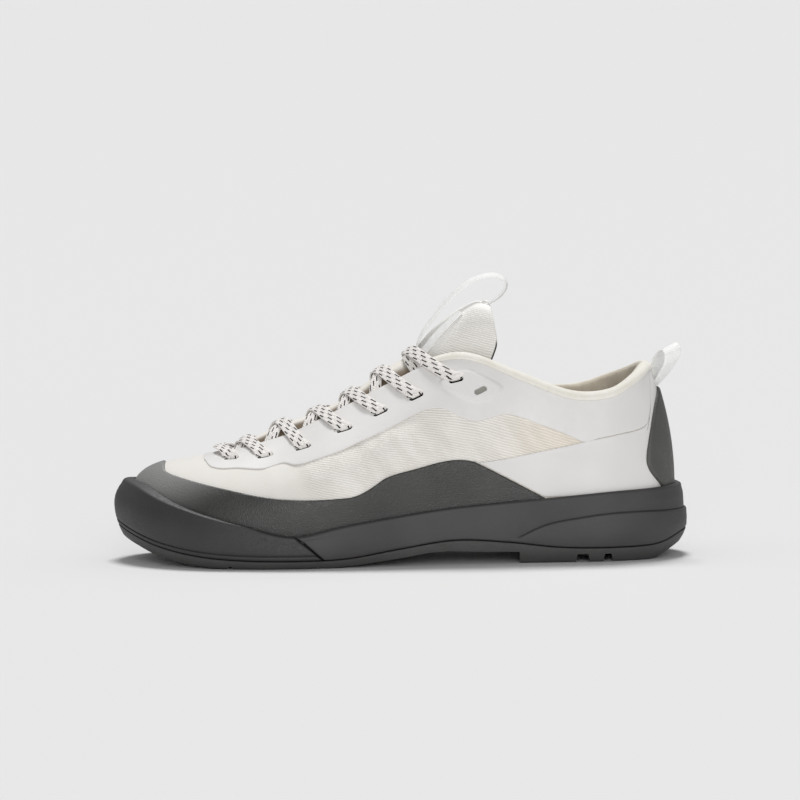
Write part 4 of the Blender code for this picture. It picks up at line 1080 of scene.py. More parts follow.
collar_tones = colour(234, 230, 220), colour(241, 238, 230)
collar_cloth = jersey("collar_jersey", 0.85, 0.3, 0.25, collar_tones, 7, 0.8, 0.1, LINING_SHADE_TONES)
collar_start = float(np.interp(COLLAR_START, EDGE.from_heel, np.arange(TOE + 1)))
collar_s = np.linspace(-collar_start, collar_start, COLLAR_STATIONS)
collar_taper = np.clip((collar_start - np.abs(collar_s)) / COLLAR_TAPER, COLLAR_THINNEST, 1.0)
wall_length = np.linalg.norm(upper_surface(collar_s, 1.0) - upper_surface(collar_s, 0.0), axis=-1)
edge_up = unit(upper_surface(collar_s, 1.0) - upper_surface(collar_s, NEAR_TOP_T))
collar_rings = []
collar_curve = round_curve(COLLAR_SECTION, COLLAR_SIDES)
for out, rise in collar_curve:
    taper = collar_taper if out < COLLAR_LINING_OUT else np.ones(COLLAR_STATIONS)
    thin = COLLAR_LINING_OUT + (out - COLLAR_LINING_OUT) * taper
    if rise < 0:
        collar_rings.append(upper_point(collar_s, 1.0 + rise * taper / wall_length, thin))
    else:
        collar_rings.append(upper_point(collar_s, 1.0, thin) + rise * edge_up)
# Painted shade: the collar's inside face, turned away into the shoe, takes the darker lining tones.
inside_shade_share = np.clip((COLLAR_SHADE_FROM - collar_curve[:, 0]) / COLLAR_SHADE_FADE, 0, 1)
collar_marks = {"inside": np.broadcast_to(inside_shade_share, (COLLAR_STATIONS, len(inside_shade_share)))}
collar = skin("collar_roll", np.array(collar_rings).transpose(1, 0, 2), collar_cloth, collar_marks)
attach(collar, "root")
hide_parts("collar_pad")

# Lace
# One flat braid of white yarn with black flecks, threaded from a bar at the foot of the throat. Each run
# comes up out of a slot, crosses the tongue and goes under the far edge to the next slot down.
LACE_WIDTH = 6.8
LACE_THICKNESS = 1.6
LACE_CLEAR = 0.1
LACE_RISE = LACE_CLEAR + LACE_THICKNESS / 2
LACE_SQUARE = 0.62
LACE_SIDES = 28
LACE_FROM_EDGE = 0.3
LACE = Table(
    "crest forward share",
    [
        (243.5, 0, 0), (230.4, 2.5, 0.45), (211, 5, 0.5), (192.1, 5, 0.5), (174.9, 5, 0.5), (159.2, 5, 0.5),
        (143.5, 5, 0.5),
    ],
)
SLOT_DEPTHS = (1.9, 0.6)
SLOT_STAND = 0.75
SLANT_FROM = 2.5
SLANT_RUN = 7.0
SLANT_LEAST = 0.5
CREST_SIDE = 0.12
CREST_BACK = 0.4
BAR_LIFT = 2.2
BAR_SHARE = 0.4
# A run's way up over the film, as a share of the way from its slot to the throat's edge, and its way down
# from the crest to the far edge: along the shoe as a share of its slope, and across the tongue
LACE_UP = Table("share lift", [(0.4, 0.0), (0.95, 0.4)])
LACE_DOWN = Table("ahead across lift", [(0.55, 0.55, 0.3), (0.9, 0.86, 0.0), (1.05, 1.02, -0.2)])
LACE_STATIONS = 90
FLECK_ROW = 9.0
FLECK_LENGTH = 0.42
FLECK_SHIFT = -0.29
FLECK_SLANT = 0.5
FLECK_HALF_WIDTH = 0.2
FLECK_FUZZ = 0.2
FLECK_COLUMNS = 4
STRAND_PITCH = 1.5
STRAND_SLANT = 3.2
BRAID_DEPTH = 0.18


def path(points, count):
    """count points evenly along a smooth open curve through the given points."""
    points = np.asarray(points, float)
    reach = np.concatenate([[0], np.cumsum(np.linalg.norm(np.diff(points[:, :3], axis=0), axis=1))])
    at = np.linspace(0, reach[-1], count)
    return np.stack([along(reach, points[:, k], at) for k in range(points.shape[1])], axis=1)


def on_tongue(from_heel, v, rise):
    """A point over the tongue's face at a place of its crest line, with the way out of the face."""
    r = float(np.interp(-from_heel, -TONGUE.from_heel, np.arange(len(TONGUE.from_heel))))
    step = 0.02
    along_r = tongue_face(r + step, v) - tongue_face(r - step, v)
    along_v = tongue_face(r, v + step) - tongue_face(r, v - step)
    away = unit(np.cross(along_r, along_v))
    return np.concatenate([tongue_face(r, v) + rise * away, away])


def on_film(s, t, rise):
    """A point over the film, with the way out of it."""
    out = upper_normal(np.float64(s), np.float64(t))
    face = upper_surface(s, t)
    return np.concatenate([face + (FILM_OUT + field_relief(face) + rise) * out, out])


def over_film(start, end, share, medial, rise):
    """A point over the film on a straight line in side view, a share of the way from start to the edge."""
    steps = np.linspace(0, 1, 60)[:, None]
    line = start + (end - start) * steps
    edge = np.interp(line[:, 0], EDGE.from_heel, EDGE.medial_height if medial else EDGE.height)
    to_edge = steps[int(np.argmax(line[:, 1] > edge - LACE_FROM_EDGE)), 0]
    from_heel, height = start + (end - start) * share * to_edge
    return on_film(*wall_place(from_heel, height, medial), rise)


def in_slot(i, medial):
    """Points where the lace stands on edge in a slot, facing away from the throat."""
    _, to_throat, _ = eyelet_axes(i, medial)
    near_throat = SLOT_STAND * to_throat
    deep = [upper_point(*at_eyelet[i, medial], FILM_OUT - depth) + near_throat for depth in SLOT_DEPTHS]
    return [np.concatenate([point, -to_throat]) for point in deep]


def rounded_section(width, thickness, square, count):
    turn = np.linspace(0, 2 * math.pi, count, endpoint=False)
    wide, thick = power(np.cos(turn), square), power(np.sin(turn), 0.8)
    return np.stack([width / 2 * wide, thickness / 2 * thick], axis=1)


def tape(centre, facing, section, slots=()):
    """Rings of a tape along a line of points, with its flat face turned to facing at each point. slots are
    the directions of the slots at its start and its end, where it runs in at a slant."""
    ahead = unit(np.gradient(centre, axis=0))
    across = unit(np.cross(ahead, facing))
    over = np.cross(across, ahead)
    run = np.concatenate([[0], np.linalg.norm(np.diff(centre, axis=0), axis=1).cumsum()])
    for slot, from_slot in zip(slots, (run, run[-1] - run)):
        with_slot = across @ slot
        with_slot = np.sign(with_slot) * np.maximum(np.abs(with_slot), SLANT_LEAST)
        share = np.clip(1 - (from_slot - SLANT_FROM) / SLANT_RUN, 0, 1)[:, None]
        across = across + share * (slot / with_slot[:, None] - across)
    return centre[:, None] + section[None, :, :1] * across[:, None] + section[None, :, 1:] * over[:, None]


def run_marks(centre, section, width):
    """For a tape's finish: how far along it a point lies, and where across it, from -1 to 1."""
    run = np.concatenate([[0], np.linalg.norm(np.diff(centre, axis=0), axis=1).cumsum()])
    shape = (len(run), len(section))
    return {
        "run": np.broadcast_to(run[:, None], shape),
        "across": np.broadcast_to(section[None, :, 0] * 2 / width, shape),
    }


lace_yarn = new_finish("flecked_braid", {"Roughness": 0.88, "Sheen Weight": 0.2, "Specular IOR Level": 0.25})
run, across = mark_of(lace_yarn, "run"), mark_of(lace_yarn, "across")
lane = calc(lace_yarn, "MULTIPLY", calc(lace_yarn, "MULTIPLY_ADD", across, 0.5, 0.5), FLECK_COLUMNS)
lane_number = calc(lace_yarn, "FLOOR", lane)
in_lane = calc(lace_yarn, "SUBTRACT", calc(lace_yarn, "FRACT", lane), 0.5)
row = calc(lace_yarn, "MULTIPLY_ADD", lane_number, FLECK_SHIFT, calc(lace_yarn, "DIVIDE", run, FLECK_ROW))
in_row = calc(lace_yarn, "FRACT", row)
drift = calc(lace_yarn, "MULTIPLY_ADD", in_row, FLECK_SLANT, calc(lace_yarn, "SUBTRACT", in_lane, 0.1))
fuzz = calc(lace_yarn, "MULTIPLY_ADD", speckle(lace_yarn, 0.9, 2), FLECK_FUZZ, -FLECK_FUZZ / 2)
off_middle = calc(lace_yarn, "ADD", calc(lace_yarn, "ABSOLUTE", drift), fuzz)
narrow = calc(lace_yarn, "LESS_THAN", off_middle, FLECK_HALF_WIDTH)
short = calc(lace_yarn, "LESS_THAN", calc(lace_yarn, "MULTIPLY_ADD", fuzz, 0.4, in_row), FLECK_LENGTH)
fleck = calc(lace_yarn, "MULTIPLY", narrow, short)
yarn = mix(lace_yarn, mottle(lace_yarn, 1.4, 3), colour(238, 233, 229), colour(251, 248, 245))
feed(lace_yarn, "Base Color", mix(lace_yarn, fleck, yarn, colour(28, 26, 25)))
strand = calc(lace_yarn, "MULTIPLY_ADD", calc(lace_yarn, "ABSOLUTE", across), STRAND_SLANT, run)
weave = calc(lace_yarn, "MULTIPLY", wave(lace_yarn, strand, STRAND_PITCH), 0.6)
ridges = calc(lace_yarn, "MULTIPLY_ADD", wave(lace_yarn, lane, 1.0), 0.5, weave)
emboss(lace_yarn, ridges, BRAID_DEPTH)

lace_section = rounded_section(LACE_WIDTH, LACE_THICKNESS, LACE_SQUARE, LACE_SIDES)


def lace_run(name, stops, slots, nodes):
    """A stretch of the lace along its stops, which stands for the named solids."""
    line = path(stops, LACE_STATIONS)
    piece = skin(
        name,
        tape(line[:, :3], line[:, 3:], lace_section, slots),
        lace_yarn,
        run_marks(line[:, :3], lace_section, LACE_WIDTH),
    )
    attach(piece, "root")
    if nodes:
        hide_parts(*nodes)


def crossing(i, medial, stacked):
    """Stops of a run from an eyelet over the throat's edge, the crest and down under the other edge."""
    side = 1 if medial else -1
    crest, slope = LACE.crest[i], LACE.forward[i] / LACE.share[i]
    top = on_tongue(crest - CREST_BACK, side * CREST_SIDE, LACE_RISE + stacked)
    start = np.array([EYELETS.from_heel[i], EYELETS.height[i]])
    end = np.array([SHOE_LENGTH / 2 - top[0], top[2]])
    stops = in_slot(i, medial)
    for up, lift in zip(LACE_UP.share, LACE_UP.lift):
        stops.append(over_film(start, end, up, medial, LACE_RISE + lift))
    stops.append(top)
    stops.append(on_tongue(crest + CREST_SIDE * slope, -side * CREST_SIDE, LACE_RISE + stacked))
    for ahead, across_tongue, lift in zip(*vars(LACE_DOWN).values()):
        stops.append(on_tongue(crest + ahead * slope, -side * across_tongue, LACE_RISE + lift))
    return stops, [eyelet_axes(i, medial)[0]]


for i in range(1, len(LACE.crest)):
    lace_run(f"lace_{i}_inner", *crossing(i, True, LACE_CLEAR), ())
    lace_run(f"lace_{i}_outer", *crossing(i, False, LACE_THICKNESS), (f"lace_crossing_{i}",))
toe_line = upper_surface(TOE, T_STEPS)
bar_front = float(T_STEPS[int(np.argmax(SHOE_LENGTH / 2 - toe_line[:, 0] < LACE.crest[0]))])
bar_crest = on_film(TOE, bar_front, LACE_RISE + BAR_LIFT)
near_bar, far_bar = (on_film(*at_eyelet[0, medial], LACE_RISE) for medial in (False, True))
bar_rise = np.append(BAR_LIFT / 2 * bar_crest[3:], [0, 0, 0])
bar_stops = [
    *in_slot(0, False),
    (1 - BAR_SHARE) * near_bar + BAR_SHARE * bar_crest + bar_rise,
    bar_crest,
    (1 - BAR_SHARE) * far_bar + BAR_SHARE * bar_crest + bar_rise,
    *in_slot(0, True)[::-1],
]
bar_slots = [eyelet_axes(0, medial)[0] for medial in (False, True)]
lace_run("lace_bar_braid", bar_stops, bar_slots, ("lace_bar",))

# Tongue tab and pull loops
# White polyester tape: a tab sewn flat on the tongue's front, a narrow loop that stands above it, and a wider
# loop sewn at the back of the collar.
WEBBING = 1.1
WEBBING_SQUARE = 0.25
WEBBING_SIDES = 24
TWILL_SLANT = 2.0
TWILL_PITCH = 0.9
CORD_PITCH = 0.22
CORD_SHARE = 0.6
TWILL_DEPTH = 0.06
TONGUE_TAB = (142.5, 119.5)
TONGUE_TAB_SIDE = -0.33
TONGUE_TAB_WIDTH = 4.8
TONGUE_TAB_THICKNESS = 0.6
TONGUE_LOOP_WIDTH = 5.0
HEEL_LOOP_WIDTH = 10.0
LOOP_STATIONS = 110
LOOP_FREE_SLOPE = 2.2
TONGUE_LOOP = Table(
    "from_heel height",
    [
        (140.0, 109.6), (139.0, 113.4), (137.0, 117.4), (133.6, 122.2), (129.3, 127.6), (124.1, 133.9),
        (117.8, 139.8), (111.0, 144.3), (104.6, 146.5), (98.2, 146.8), (94.2, 144.8), (93.0, 141.3),
        (94.8, 137.6), (98.4, 134.4), (102.6, 132.2), (106.4, 131.0),
    ],
)
HEEL_LOOP = Table(
    "from_heel height",
    [
        (17.4, 88.0), (17.8, 92.0), (17.6, 96.5), (15.6, 101.2), (11.8, 105.4), (7.2, 108.2), (3.4, 108.4),
        (1.6, 106.0), (2.6, 102.2), (5.8, 98.6), (9.6, 95.2), (13.4, 91.8), (16.6, 88.4),
    ],
)
white_tape = new_finish("white_tape", {"Specular IOR Level": 0.4, "Sheen Weight": 0.15})
run, across = mark_of(white_tape, "run"), mark_of(white_tape, "across")
twill = wave(white_tape, calc(white_tape, "MULTIPLY_ADD", across, TWILL_SLANT, run), TWILL_PITCH)
cords = wave(white_tape, across, CORD_PITCH)
feed(white_tape, "Roughness", ease(white_tape, speckle(white_tape, 1.5), 0.3, 0.7, 0.5, 0.65))
tape_tones = colour(253, 253, 251), colour(255, 255, 254)
feed(white_tape, "Base Color", mix(white_tape, mottle(white_tape, 5), *tape_tones))
emboss(white_tape, calc(white_tape, "MULTIPLY_ADD", cords, CORD_SHARE, twill), TWILL_DEPTH)


def tape_piece(name, centre, facing, width, node, thickness=WEBBING):
    section = rounded_section(width, thickness, WEBBING_SQUARE, WEBBING_SIDES)
    marks = run_marks(centre, section, width)
    piece = skin(name, tape(centre, facing, section), white_tape, marks, sharp_deg=80)
    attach(piece, "root")
    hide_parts(node)


def loop_line(table, foot=0.0, foot_turn_deg=0.0, turn_deg=0.0, tilt=0.0, twist_deg=0.0):
    """A loop's centre line and the way out of its flat face. The loop stands in the shoe's middle plane, or
    is turned about an upright line at its foot, and its tape may be tilted and twisted between its ends."""
    line = path(np.stack([table.from_heel, table.height, 0 * table.height], axis=1), LOOP_STATIONS)
    halfway = np.sin(np.linspace(0, math.pi, LOOP_STATIONS))
    free = np.clip(LOOP_FREE_SLOPE * halfway, 0, 1)
    turn = np.radians(foot_turn_deg + (turn_deg - foot_turn_deg) * free)
    reach = line[:, 0] - foot
    centre = place(foot + reach * np.cos(turn), reach * np.sin(turn), line[:, 1])
    across = unit(np.stack([np.sin(turn), np.cos(turn), tilt * free], axis=1))
    facing = unit(np.cross(np.gradient(centre, axis=0), across))
    twist = np.radians(twist_deg) * halfway[:, None]
    return centre, np.cos(twist) * facing + np.sin(twist) * across


tab_rise = TONGUE_TAB_THICKNESS / 2
tab_stops = np.array([on_tongue(u, TONGUE_TAB_SIDE, tab_rise) for u in np.linspace(*TONGUE_TAB, 40)])
tab_line, tab_facing = tab_stops[:, :3], tab_stops[:, 3:]
tape_piece("tongue_tab_tape", tab_line, tab_facing, TONGUE_TAB_WIDTH, "tongue_tab", TONGUE_TAB_THICKNESS)
tongue_loop = loop_line(TONGUE_LOOP, twist_deg=-24)
tape_piece("tongue_pull_loop", *tongue_loop, TONGUE_LOOP_WIDTH, "tongue_loop")
heel_loop = loop_line(HEEL_LOOP, foot=12, foot_turn_deg=25, turn_deg=62, tilt=0.42)
tape_piece("heel_pull_loop", *heel_loop, HEEL_LOOP_WIDTH, "heel_loop")

# Midsole
# A cup of dark compression-moulded foam. Its side wall has a rim round the upper, and at the heel a stepped
# insert line. In front it ends in a slanting joint with the toe bumper, and runs on as a plain board.
FILM_CLEAR = 1.05
RAND_CLEAR = 1.65
RAND_CLEAR_FROM_S = 2.6
RAND_CLEAR_FADE_S = 1.2
CUP_CLEARANCE = 0.35
SPLIT_LOW = 189.5
SPLIT_HIGH = 204.2
SPLIT_GAP = 0.018
SPLIT_ROUND = 1.3
INSERT_STEP = 1.1
INSERT_END = 90.0
INSERT_FADE = 5.0
INSERT_OVER_JOINT = 2.2
INSERT_LIP = 1.6
RIM_LIP = 2.2
BOARD_INSET = 0.8
BOARD_RISE = 0.2
HEEL_INSERT = Table(
    "from_heel height",
    [(0, 24.6), (24.6, 25.5), (45.5, 24.7), (56, 23.3), (66.5, 21.7), (74.3, 19.9), (82, 16.8), (90, 12.6)],
)
SOLE_U = same(SOLE.from_heel)
SOLE_Y = ring(SOLE.lateral, SOLE.medial)
SECTION_LENGTH = 25.0
END_SHARES = np.array([0, 0.0002, 0.0006, 0.0012, 0.002, 0.003, 0.0045])
SOLE_SHARES = np.concatenate([END_SHARES, np.linspace(0.006, 0.994, 300), 1 - END_SHARES[::-1]])


def s_at_sole(from_heel):
    """Where the sole's widest line has this place, on the outer side."""
    steps = np.linspace(0, TOE, 600)
    return np.interp(from_heel, np.maximum.accumulate(around(SOLE_U, steps)), steps)


def sole_wall(s, z, inset=0.0):
    """A point of the sole's side wall, taken in from its widest line."""
    bottom = around(same(SOLE.bottom), s)
    h = np.clip((z - bottom) / (around(same(SOLE.rim), s) - bottom), 0, 1)
    belly = around(same(SOLE.belly), s)
    low = around(same(SOLE.tuck_low), s) * np.clip((belly - h) / belly, 0, 1) ** 2
    high = around(same(SOLE.tuck_high), s) * np.clip((h - belly) / (1 - belly), 0, 1) ** 2
    base = place(around(SOLE_U, s), around(SOLE_Y, s), z)
    return base - (low + high + inset)[..., None] * outward(SOLE_U, SOLE_Y, s)


def cup_wall(s, z, more=0.0):
    """A point of the cup's inner wall round the upper; below the upper it drops straight down."""
    section = np.minimum(np.abs(s), LOOP - np.abs(s))
    behind_rand = np.clip((section - RAND_CLEAR_FROM_S) / RAND_CLEAR_FADE_S, 0, 1)
    stand_off = FILM_CLEAR + (RAND_CLEAR - FILM_CLEAR) * behind_rand
    z = np.broadcast_to(np.asarray(z, float), np.shape(s))
    feather = around(same(FEATHER.height), s)
    point = upper_point(s, t_at_height(s, np.maximum(z, feather)), stand_off + CUP_CLEARANCE + more)
    point[..., 2] = z
    return point


def split_s(height_of):
    """Where the slanting joint of midsole and toe bumper passes, at the height that a row has there."""
    s = s_at_sole(0.5 * (SPLIT_LOW + SPLIT_HIGH))
    joint, rim = around(same(SOLE.joint), s), around(same(SOLE.rim), s)
    level = np.clip((height_of(s, joint, rim) - joint) / (rim - joint), 0, 1)
    return float(s_at_sole(SPLIT_LOW + level * (SPLIT_HIGH - SPLIT_LOW)))


def sole_row(height_of, wall_of, range_of):
    """One line of points along a side wall, at the height that height_of gives from joint and rim. Its ends
    are rounded in towards the slanting joint."""
    start, end = range_of(split_s(height_of))
    s = start + (end - start) * SOLE_SHARES
    from_end = np.minimum(s - start, end - s) * SECTION_LENGTH / SPLIT_ROUND
    turned_in = SPLIT_ROUND * (1 - np.sqrt(1 - np.clip(1 - from_end, 0, 1) ** 2))
    return wall_of(s, height_of(s, around(same(SOLE.joint), s), around(same(SOLE.rim), s)), turned_in)


def insert_line(s, joint):
    height = along(HEEL_INSERT.from_heel, HEEL_INSERT.height, around(SOLE_U, s))
    return np.maximum(height, joint + INSERT_OVER_JOINT)


def insert_share(s):
    """1 at the heel, fading out where the insert line runs down to the outsole."""
    return np.clip((INSERT_END - around(SOLE_U, s)) / INSERT_FADE, 0, 1)


def wall_in(inset, step=0.0):
    """A line on the outer wall, set in by a fixed part and by a share of the insert's step."""
    return lambda s, z, turned_in: sole_wall(s, z, inset + turned_in + step * INSERT_STEP * insert_share(s))


def cup_in(more):
    """A line on the cup's inner wall."""
    return lambda s, z, turned_in: cup_wall(s, z, more)


def above_joint(rise):
    return lambda s, joint, rim: joint + rise


def below_rim(drop):
    return lambda s, joint, rim: rim - drop


def between(share):
    """A height at a share of the way from the joint to the rim."""
    return lambda s, joint, rim: (1 - share) * joint + share * rim


def insert_up(rise):
    return lambda s, joint, rim: insert_line(s, joint) + rise


def below_insert(share):
    """A height at a share of the way from the joint to the insert line."""
    return lambda s, joint, rim: (1 - share) * joint + share * insert_line(s, joint)


def over_insert(share):
    """A height at a share of the plain wall between the insert line's edge and the rim's edge."""
    return lambda s, joint, rim: (1 - share) * (insert_line(s, joint) + INSERT_LIP) + share * (rim - RIM_LIP)


def footbed_height(s):
    return around(same(FEATHER.height), s) - SEAT_GAP


midsole_rows = [
    (above_joint(0.15), wall_in(1.6)),
    (above_joint(0.25), wall_in(0.6)),
    (above_joint(0.5), wall_in(0.2)),
    (above_joint(1.1), wall_in(0.0)),
    (below_insert(0.5), wall_in(0.0)),
    (insert_up(-1.0), wall_in(0.0)),
    (insert_up(-0.45), wall_in(0.0, 0.07)),
    (insert_up(-0.12), wall_in(0.0, 0.4)),
    (insert_up(0.05), wall_in(0.0, 1.6)),
    (insert_up(0.3), wall_in(0.0, 1.65)),
    (insert_up(0.5), wall_in(0.0, 1.1)),
    (insert_up(1.4), wall_in(0.0, 1.0)),
    (over_insert(0.15), wall_in(0.0, 0.85)),
    (over_insert(0.4), wall_in(0.0, 0.55)),
    (over_insert(0.7), wall_in(0.0, 0.2)),
    (over_insert(1.0), wall_in(0.25)),
    (below_rim(1.4), wall_in(0.0)),
    (below_rim(0.7), wall_in(0.15)),
    (below_rim(0.15), wall_in(1.0)),
    (below_rim(0.0), wall_in(1.7)),
    (below_rim(0.1), cup_in(0.7)),
    (below_rim(0.8), cup_in(0.0)),
    (lambda s, joint, rim: 0.5 * (rim + footbed_height(s)), cup_in(0.0)),
    (lambda s, joint, rim: footbed_height(s), cup_in(0.0)),
    (above_joint(0.15), cup_in(-0.5)),
]


def foam_look(name, dark, light, roughness):
    """Moulded foam: a matt skin with fine pores and faint flow marks."""
    made = new_finish(name, {"Specular IOR Level": 0.38})
    pores = speckle(made, 0.5, 3)
    flow = mottle(made, 34)
    tone = calc(made, "MULTIPLY_ADD", flow, 0.5, calc(made, "MULTIPLY", pores, 0.5))
    feed(made, "Base Color", mix(made, tone, dark, light))
    feed(made, "Roughness", ease(made, pores, 0.3, 0.7, roughness - 0.06, roughness + 0.08))
    emboss(made, pores, 0.05)
    return made


def midsole_range(end):
    return -end + SPLIT_GAP, end - SPLIT_GAP


dark_foam = foam_look("dark_foam", colour(62, 61, 61), colour(76, 75, 75), 0.58)
midsole_lines = [sole_row(height, wall, midsole_range) for height, wall in midsole_rows]
midsole_wall = skin("midsole_wall", np.array(midsole_lines).transpose(1, 0, 2), dark_foam, sharp_deg=50)
board_s = both_sides(110)
board_low = cup_wall(board_s, around(same(SOLE.joint), board_s) + BOARD_RISE, -BOARD_INSET)
board_high = cup_wall(board_s, footbed_height(board_s), -BOARD_INSET)
board_loops = [to_middle(board_low), board_low, board_high, to_middle(board_high)]
midsole = joined([midsole_wall, skin("midsole_board", board_loops, dark_foam, sharp_deg=50)], "midsole_cup")
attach(midsole, "root")
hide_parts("midsole")

# Toe bumper
# A wall of dark moulded rubber round the toe, with a rib and two fine grooves along its foot. It is cemented
# to the midsole's front and meets it in a slanting joint on each side.
FOOT_RIB = 2.3
FOOT_RIB_TOP = FOOT_RIB + 0.85
GROOVE_DEPTH = 0.8
BUMPER_WALL_ROWS = 8
BUMPER_EDGE = 2.4


def bumper_wall_row(share):
    """A line on the bumper's plain wall, between its foot rib and its top edge."""

    def height(s, joint, rim):
        return (1 - share) * (joint + FOOT_RIB_TOP) + share * (rim - BUMPER_EDGE)

    return height, wall_in(0.3 * share**4)


bumper_rows = [
    (above_joint(0.15), wall_in(1.2)),
    (above_joint(0.25), wall_in(0.45)),
    (above_joint(0.5), wall_in(0.1)),
    (above_joint(0.9), wall_in(0.0)),
    (above_joint(FOOT_RIB - 0.35), wall_in(0.0)),
    (above_joint(FOOT_RIB - 0.1), wall_in(0.15)),
    (above_joint(FOOT_RIB + 0.08), wall_in(GROOVE_DEPTH)),
    (above_joint(FOOT_RIB + 0.42), wall_in(GROOVE_DEPTH)),
    (above_joint(FOOT_RIB + 0.6), wall_in(0.15)),
    (above_joint(FOOT_RIB_TOP), wall_in(0.0)),
    *[bumper_wall_row(k / BUMPER_WALL_ROWS) for k in range(1, BUMPER_WALL_ROWS + 1)],
    (below_rim(1.4), wall_in(0.0)),
    (below_rim(0.7), wall_in(0.05)),
    (below_rim(0.25), wall_in(0.4)),
    (below_rim(0.0), wall_in(1.2)),
    (below_rim(0.1), cup_in(0.7)),
    (below_rim(0.8), cup_in(0.0)),
    (between(0.65), cup_in(0.0)),
    (between(0.3), cup_in(0.0)),
    (above_joint(0.15), cup_in(0.0)),
]
bumper_rubber = grained_rubber("bumper_rubber", colour(38, 38, 38), colour(53, 53, 52), 0.4, 0.04, 0.6)


def bumper_range(end):
    return end + SPLIT_GAP, LOOP - end - SPLIT_GAP


bumper_lines = [sole_row(height, wall, bumper_range) for height, wall in bumper_rows]
bumper = skin("toe_bumper_wall", np.array(bumper_lines).transpose(1, 0, 2), bumper_rubber, sharp_deg=50)
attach(bumper, "root")
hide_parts("toe_bumper")

# Outsole
# The moulded rubber bottom: a thin side band all round, an arch under the waist, a heel block with lugs, and
# forefoot lugs between grooves. It is cemented under midsole and bumper.
ARCH = [
    (88, -2), (88.5, 6.1), (110, 6.5), (124, 7.2), (134, 6.9), (151, 4.1), (170, 1.7), (186, 0.3), (192, -2),
]
PAST_SIDES = 90
HEEL_GROOVE_DEPTH = 4.3
HEEL_GROOVES = [
    (39.8, 45.5, -PAST_SIDES, PAST_SIDES),
    (51.8, 59.7, -PAST_SIDES, PAST_SIDES),
    (70.0, 75.0, -22, 20),
    (18.5, 21.5, -26, 26),
]
HEEL_CHANNEL = (30, 87)
HEEL_CHANNEL_Y = (-4.5, 4.5)
HEEL_CHANNEL_DEPTH = 2.8
FOREFOOT_DEPTH = 2.6
FOREFOOT_GROOVE = 6
FOREFOOT_STAGGER = 3
FOREFOOT_GROOVES = (171, 187, 203, 219, 235)
OUTER_GROOVE_Y = (-37, -6)
INNER_GROOVE_Y = (4, 36)
TREAD_CHANNEL = (168, 248)
TREAD_CHANNEL_Y = (-3.5, 1.5)
NOTCH_DEPTH = 1.6
NOTCH_LENGTH = 4
EDGE_NOTCHES = (236, 251)
OUTER_NOTCH_Y = (-PAST_SIDES, -41)
INNER_NOTCH_Y = (40, PAST_SIDES)
FRONT_END = 192.4
FRONT_SEAM = 0.5
FRONT_SEAM_TOP = 4.2
OUTER_SEAM_Y = (-PAST_SIDES, -51.2)
INNER_SEAM_Y = (44.6, PAST_SIDES)
GROOVE_SLOPE = 1.2
OUTSOLE_SHARP_DEG = 32


def side_tool(name, outline, low_y, high_y):
    """A cutting tool with an outline in side view, from one y to another."""
    points = [place(u, y, z) for y in (low_y, high_y) for u, z in outline]
    count = len(outline)
    bpy.ops.object.select_all(action="DESELECT")
    bpy.ops.mesh.primitive_cylinder_add(vertices=count, radius=1, depth=1)
    tool = bpy.context.object
    tool.name = tool.data.name = name
    for i, point in enumerate(points):
        tool.data.vertices[2 * (i % count) + i // count].co = Vector(point) * MM
    bpy.ops.object.mode_set(mode="EDIT")
    bpy.ops.mesh.select_all(action="SELECT")
    bpy.ops.mesh.normals_make_consistent(inside=False)
    bpy.ops.object.mode_set(mode="OBJECT")
    return tool


def groove(back, front, depth):
    """The outline of a groove across the tread, with leaning sides."""
    return [(back, -1), (back + GROOVE_SLOPE, depth), (front - GROOVE_SLOPE, depth), (front, -1)]


outsole_rubber = grained_rubber("outsole_rubber", colour(52, 52, 51), colour(69, 69, 68), 0.6, 0.06, 0.64)
outsole_s = both_sides(150)
outsole_low = np.maximum(around(same(SOLE.bottom), outsole_s), 0.0)
outsole_joint = around(same(SOLE.joint), outsole_s)
outsole_profile = [
    (outsole_low, 9.0),
    (outsole_low, 1.3),
    (outsole_low + 0.3, 0.5),
    (outsole_low + 1.2, 0.0),
    (0.5 * (outsole_low + outsole_joint), 0.0),
    (outsole_joint - 0.9, 0.0),
    (outsole_joint - 0.5, 0.12),
    (outsole_joint - 0.25, 0.6),
    (outsole_joint - 0.2, 6.0),
]
outsole_loops = [sole_wall(outsole_s, height, inset) for height, inset in outsole_profile]
outsole_loops = [to_middle(outsole_loops[0]), *outsole_loops, to_middle(outsole_loops[-1])]
outsole = skin("outsole_rubber", outsole_loops, outsole_rubber)
tools = [side_tool("arch_tool", ARCH, -PAST_SIDES, PAST_SIDES)]
for k, (back, front, low_y, high_y) in enumerate(HEEL_GROOVES):
    tools.append(side_tool(f"heel_groove_{k}", groove(back, front, HEEL_GROOVE_DEPTH), low_y, high_y))
tools.append(side_tool("heel_channel", groove(*HEEL_CHANNEL, HEEL_CHANNEL_DEPTH), *HEEL_CHANNEL_Y))
for k, back in enumerate(FOREFOOT_GROOVES):
    outer_back = back + FOREFOOT_STAGGER
    outer_groove = groove(outer_back, outer_back + FOREFOOT_GROOVE, FOREFOOT_DEPTH)
    inner_groove = groove(back, back + FOREFOOT_GROOVE, FOREFOOT_DEPTH)
    tools.append(side_tool(f"outer_groove_{k}", outer_groove, *OUTER_GROOVE_Y))
    tools.append(side_tool(f"inner_groove_{k}", inner_groove, *INNER_GROOVE_Y))
tools.append(side_tool("tread_channel", groove(*TREAD_CHANNEL, FOREFOOT_DEPTH), *TREAD_CHANNEL_Y))
for k, back in enumerate(EDGE_NOTCHES):
    notch = groove(back, back + NOTCH_LENGTH, NOTCH_DEPTH)
    tools.append(side_tool(f"outer_notch_{k}", notch, *OUTER_NOTCH_Y))
    tools.append(side_tool(f"inner_notch_{k}", notch, *INNER_NOTCH_Y))
seam_front = FRONT_END + FRONT_SEAM
